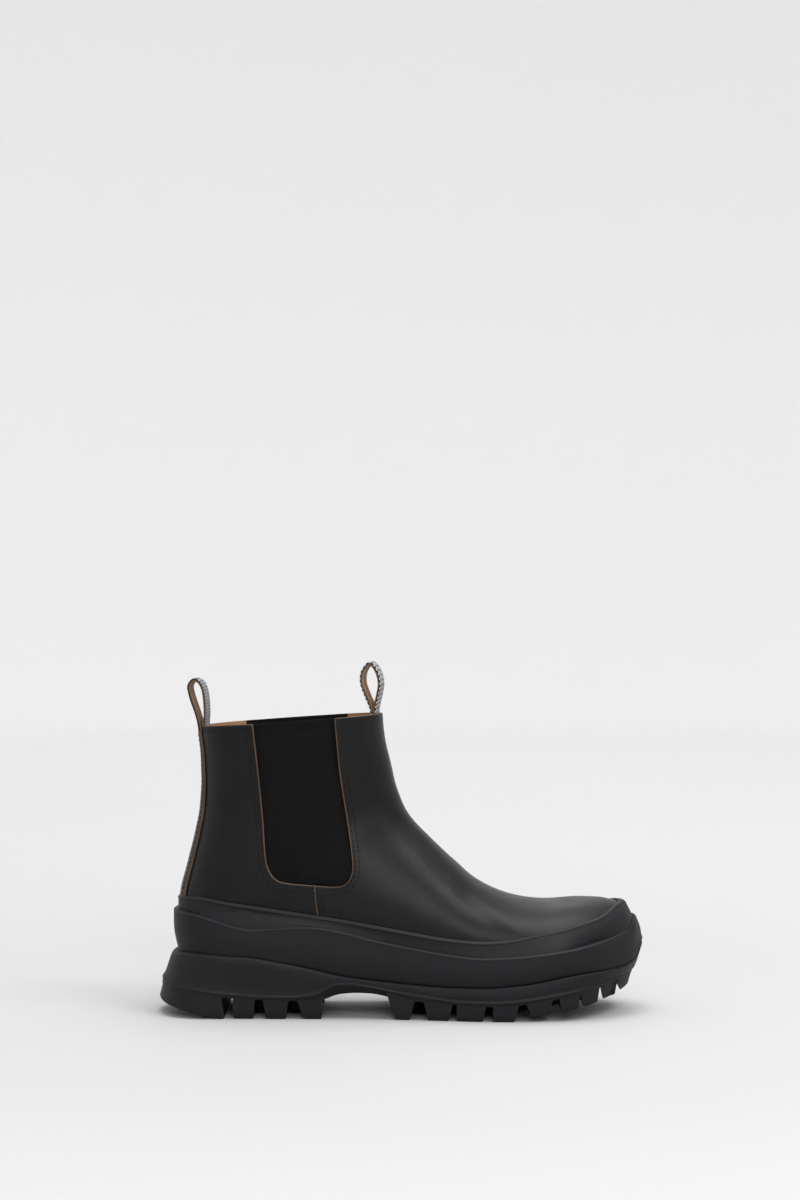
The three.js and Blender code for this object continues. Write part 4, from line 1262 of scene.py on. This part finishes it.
def end_block(limit, slope, toward):
    """A full-width tread block round the heel or toe, ending square at a limit in x."""
    rings = []
    for share, pull in LUG_LEVELS:
        stop = limit + toward * (pull - slope * share)
        inset_of = tread_inset(share, pull)
        halves = []
        for side, _ in SIDES:
            line = moved_edge(side, inset_of)
            kept = line[toward * (line[:, 0] - stop) > 0]
            first = [[stop, edge_at(stop, side, inset_of)]]
            kept = np.vstack([first, kept] if toward > 0 else [kept, first])
            along = travel(kept)
            halves.append(points_at(np.linspace(0, along[-1], 36), along, kept))
        rings.append(lug_ring(np.vstack([halves[0], halves[1][::-1]]), share))
    return block_from_rings(rings)


SOCK_RISE = 10.2
SOCK_COLUMNS = 21
SOCK_THICKNESS = 1.0
SOCK_SINK = 1.2
SOCK_CUP = 2.2
SOCK_ARCH = 1.5
SOCK_END_GAP = 1.5
SOCK_HALF_LENGTH = 140


def build_sock_liner():
    """Leather sock over the footbed: cupped up at its edge and a little domed at the arch."""
    clear = LINING_DEPTH + LINING + 0.1
    edge = level_ring(lambda x: insole_edge(x) + SOCK_RISE, 0)
    depth = clear + stiffener_depth(edge)
    across = np.linspace(-1, 1, SOCK_COLUMNS)
    cup = SOCK_CUP * np.abs(across) ** 5
    rows = []
    for j in range(EDGE_STEPS + 1):
        x, lateral_y, z = edge[j]
        low, high = lateral_y + depth[j], edge[-j][1] - depth[-j]
        y = (low + high) / 2 + across * max(high - low, 0) / 2
        arch = SOCK_ARCH * smooth_step(x, -70, -20) * (1 - smooth_step(x, 0, 50)) * np.clip(across, 0, 1)
        rows.append(np.column_stack([np.full(SOCK_COLUMNS, x), y, z - SOCK_SINK + cup + arch]))
    rows = np.array(rows)
    count = len(rows)
    middle = rows[:, :, 0].mean()
    end_gap = (clear + SOCK_END_GAP) / SOCK_HALF_LENGTH
    shorten = 1 - end_gap * np.abs(np.linspace(-1, 1, count))[:, None]
    rows[:, :, 0] = middle + (rows[:, :, 0] - middle) * shorten
    top = rows.reshape(-1, 3)
    faces = ring_faces(count, SOCK_COLUMNS, closed=False)
    faces += [tuple(k + len(top) for k in face[::-1]) for face in faces]
    index = np.arange(len(top)).reshape(count, SOCK_COLUMNS)
    rim = np.concatenate([index[0], index[1:, -1], index[-1, -2::-1], index[-2:0:-1, 0]])
    faces += [(a, b, b + len(top), a + len(top)) for a, b in zip(rim, np.roll(rim, -1))]
    points = np.vstack([top, top - (0, 0, SOCK_THICKNESS)])
    piece = make_object("sock_liner_leather", points, faces, [TAN])
    finish_piece(piece, "tan_lining", "sock_liner")


# ---------------- pull tabs

REAR_TAB_LINE = [
    (-127.2, 177.5), (-127.7, 181), (-128.5, 185), (-130.0, 190), (-132.1, 196), (-133.7, 201.5),
    (-134.4, 206.6), (-131.4, 210.4), (-127.4, 208.8), (-124.9, 203.5), (-123.8, 196),
    (-123.6, 189), (-123.9, 182), (-124.1, 174)]
FRONT_TAB_LINE = [
    (-17.5, 178), (-17.3, 184), (-17.6, 189.5), (-18.7, 194), (-21.8, 201.5), (-24.1, 208.5),
    (-23.4, 215.6), (-18.8, 220.9), (-14.3, 215.6), (-12.6, 208), (-13.6, 200.5), (-15.2, 194),
    (-15.7, 189.5), (-15.6, 184), (-15.6, 178)]
REAR_TAB_TWIST = 4
FRONT_TAB_TWIST = 8
BEAD_DEPTH = 0.5
BEAD_PITCH = 1.35
BAND_COLUMNS = 15
BAND_SLACK = 0.25

# A band's name, the share of the tab's line that it covers, its inner and outer offsets from that
# line, how much narrower than the tab its half is, the bead depth at its sides, its face, edge and
# back materials, its slot and the CAD node it stands for.
REAR_BANDS = [
    ("strap_inner", (0, 1), (-1.35, -0.05), 0.3, 0, [TAN, EDGE, TAN], "tab_leather", "rear_tab_leather"),
    ("strap_face", (0, 0.53), (0.0, 0.85), 0.2, 0, [BLACK] * 3, "black_leather"),
    ("ribbon", (0.5, 1), (0.0, 1.0), 0, BEAD_DEPTH, [GREY_RIBBON] * 3, "tab_webbing", "rear_tab_webbing")]
FRONT_BANDS = [
    ("strap_inner", (0, 1), (-1.3, -0.05), 0.3, 0, [TAN, EDGE, TAN], "tab_leather", "front_tab_leather"),
    ("ribbon", (0, 1), (0.0, 1.0), 0, BEAD_DEPTH, [ZIGZAG_RIBBON] * 3, "tab_webbing", "front_tab_webbing")]

SEWN_LENGTH = 16
SEWN_THICKNESS = 1.5
SEWN_STITCH_INSET = 0.8


def tab_band(name, line, share, offsets, half_width, twist, materials, beads):
    """Part of a looped band, between two offsets from its middle line."""
    path = spline(line, 0.5)
    first, last = (int(round(end * (len(path) - 1))) for end in share)
    normal = -to_right(np.gradient(path, axis=0))
    along = travel(path)
    width_way = np.array([math.sin(math.radians(twist)), math.cos(math.radians(twist))])
    columns = np.linspace(-1, 1, BAND_COLUMNS)
    edge_round = 0.3 * np.abs(columns) ** 10
    near, far = offsets
    rings = []
    for i in range(first, last + 1):
        bead = beads * (0.5 - 0.5 * math.cos(2 * math.pi * along[i] / BEAD_PITCH))
        across = columns * (half_width + bead - beads / 2)
        swell = BAND_SLACK * 0.5 * (1 - columns ** 2) * math.sin(along[i] * 0.35 + near)
        sheets = []
        for offset in (near + swell + edge_round, far + swell - edge_round):
            x, z = path[i][:, None] + normal[i][:, None] * offset
            sheets.append(np.column_stack([x + across * width_way[0], across * width_way[1], z]))
        rings.append(np.vstack([sheets[0], sheets[1][::-1]]))
    points, faces = block_from_rings(rings)
    count = 2 * BAND_COLUMNS
    kind_of_place = [0] * (BAND_COLUMNS - 1) + [1] + [2] * (BAND_COLUMNS - 1) + [1]
    kinds = kind_of_place * (len(rings) - 1) + [1, 1]
    piece = make_object(name, points, faces, materials, kinds, sharp=50, weld=False)
    layer = piece.data.uv_layers.new(name="weave")
    index = np.empty(len(piece.data.loops), np.int32)
    piece.data.loops.foreach_get("vertex_index", index)
    ring_of, place = index // count, index % count
    column_of = np.where(place < BAND_COLUMNS, place, count - 1 - place)
    uv = np.column_stack([along[first + ring_of], columns[column_of] * half_width])
    layer.data.foreach_set("uv", uv.ravel().astype(np.float32))
    return piece


def build_tab(end, line, twist, bands):
    """A tab's bands, laid along the tab's line in place of its CAD nodes."""
    for part, share, offsets, narrower, beads, materials, slot, *nodes in bands:
        piece = tab_band(f"{end}_tab_{part}", line, share, offsets, TAB_WIDTH / 2 - narrower, twist,
                         materials, beads)
        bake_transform(piece)
        stand_for(nodes)


def build_sewn_end(name, middle):
    """The tab's ends stitched down flat on the lining inside the collar, with a boxed cross."""
    low = COLLAR_ANGLE + 0.8
    high = COLLAR_ANGLE + math.degrees(SEWN_LENGTH / section_radius(COLLAR_ANGLE, middle))
    angles = np.linspace(low, high, 16)
    reach = strip_turn(angles, TAB_WIDTH / 2, at_heel=middle == 1)
    outline = strip_outline(to_flat(angles, middle - reach), to_flat(angles, middle + reach))
    depth = LINING_DEPTH + LINING + 0.05
    piece = panel(f"{name}_tab_end_patch", outline, depth, SEWN_THICKNESS, [TAN, GREY_RIBBON, EDGE],
                  grid=1.4, bevel=0.2)
    finish_piece(piece, "tab_webbing", f"{name}_tab_sewn_end")
    corners = [(0, -1), (0, 1), (1, 1), (1, -1), (0, -1), (1, 1), (1, -1), (0, 1)]
    rows = []
    for (a, u), (b, v) in zip(corners, corners[1:]):
        t = np.linspace(0, 1, 24)
        angle = low + (high - low) * (0.12 + 0.76 * (a + (b - a) * t))
        width = np.interp(angle, angles, reach) * SEWN_STITCH_INSET
        rows.append((angle, middle + width * (u + (v - u) * t)))
    seam = stitches(f"{name}_tab_end_stitching", rows, depth + SEWN_THICKNESS, facing=-1)
    finish_piece(seam, "tab_webbing")


def dress_hidden_nodes():
    looks = {"heel_counter": FIBRE, "toe_puff": FIBRE, "insole_board": FIBRE, "bottom_filler": FIBRE,
             "footbed_foam": FOAM, "shank": STEEL}
    for name, material in looks.items():
        for place in frame["nodes"][name].material_slots:
            place.material = material


build_rand()
build_midsole()
build_outsole()
build_sock_liner()
build_tab("rear", REAR_TAB_LINE, REAR_TAB_TWIST, REAR_BANDS)
build_tab("front", FRONT_TAB_LINE, FRONT_TAB_TWIST, FRONT_BANDS)
build_sewn_end("rear", 1)
build_sewn_end("front", 0)
dress_hidden_nodes()

# ---------------- stage, in metres

FLOOR_RADIUS = 3.2
SWEEP_RADIUS = 1.2
WALL_HEIGHT = 3.0
# The paper is darker under the boot than far off, so that the lit floor looks even. The albedo
# stops rising a little short of this distance.
SHADE_REACH = 3.6
FLOOR_ALBEDO = 0.45
MIDDLE_ALBEDO = 0.60
WALL_ALBEDO = 0.85
WORLD_STRENGTH = 0.85

# The camera looks level along +Y from this place in millimetres.
CAMERA_PLACE = (-0.6, -1600, 261)
CAMERA_LENS = 75.24
SENSOR_WIDTH = 36

# Each light's place, the point it faces, its size and its power in watts.
LIGHTS = {
    "top_softbox": ((0.15, 0.1, 2.4), (0, 0, 0), 1.5, 42),
    "front_softbox": ((0.25, -2.7, 1.45), (0, 0, 0.1), 1.2, 28),
    "toe_softbox": ((1.1, -0.8, 2.1), (0.05, 0, 0.1), 0.9, 20),
    "rim_softbox": ((0.05, 2.5, 1.95), (0, 0, 0.1), 0.9, 5),
}


def paper():
    """Matte studio paper, lighter with the distance from the middle."""
    look = Look("studio_paper")
    reach = look.node("ShaderNodeVectorMath", {"operation": "LENGTH"})
    look.feed(reach.inputs[0], look.place())
    mottled = look.calc("MULTIPLY_ADD", look.noise(0.6, 2, 0.5), 0.05, reach.outputs["Value"])
    away = look.node("ShaderNodeMapRange", Value=mottled, From_Max=SHADE_REACH).outputs["Result"]
    shade = look.ramp(away, (0.1, FLOOR_ALBEDO), (0.45, MIDDLE_ALBEDO), (0.95, WALL_ALBEDO))
    look.surface(Base_Color=shade, Roughness=0.9, Specular_IOR_Level=0.1)
    return look.material


def build_stage():
    """A round studio sweep: a pale floor that curves up into a wall on every side."""
    profile = [(0.02, 0), (0.8, 0), (1.6, 0), (FLOOR_RADIUS, 0)]
    for a in np.linspace(0, np.pi / 2, 14)[1:]:
        profile.append((FLOOR_RADIUS + SWEEP_RADIUS * math.sin(a), SWEEP_RADIUS * (1 - math.cos(a))))
    profile.append((FLOOR_RADIUS + SWEEP_RADIUS, WALL_HEIGHT))
    turns = np.linspace(0, 2 * np.pi, 97)[:-1]
    points = [(r * math.cos(t), r * math.sin(t), z) for r, z in profile for t in turns]
    faces = ring_faces(len(profile), len(turns)) + [tuple(range(len(turns)))[::-1]]
    mesh = bpy.data.meshes.new("studio_floor")
    mesh.from_pydata(points, [], faces)
    mesh.materials.append(paper())
    mesh.shade_smooth()
    add_to_scene("studio_floor", mesh)


def build_lights():
    world = bpy.data.worlds.new("studio_world")
    world.use_nodes = True
    background = world.node_tree.nodes["Background"]
    background.inputs["Color"].default_value = (1, 1, 1, 1)
    background.inputs["Strength"].default_value = WORLD_STRENGTH
    bpy.context.scene.world = world
    bpy.context.scene.view_settings.view_transform = "Standard"
    for name, (place, target, size, power) in LIGHTS.items():
        light = bpy.data.lights.new(name, "AREA")
        light.energy = power
        light.size = size
        holder = add_to_scene(name, light)
        holder.location = place
        holder.rotation_euler = (Vector(target) - Vector(place)).to_track_quat("-Z", "Y").to_euler()


def build_camera():
    data = bpy.data.cameras.new("camera")
    data.lens = CAMERA_LENS
    data.sensor_width = SENSOR_WIDTH
    camera = add_to_scene("camera", data)
    camera.location = to_frame(CAMERA_PLACE)
    camera.rotation_euler = (math.radians(90), 0, 0)
    bpy.context.scene.camera = camera


build_stage()
build_lights()
build_camera()
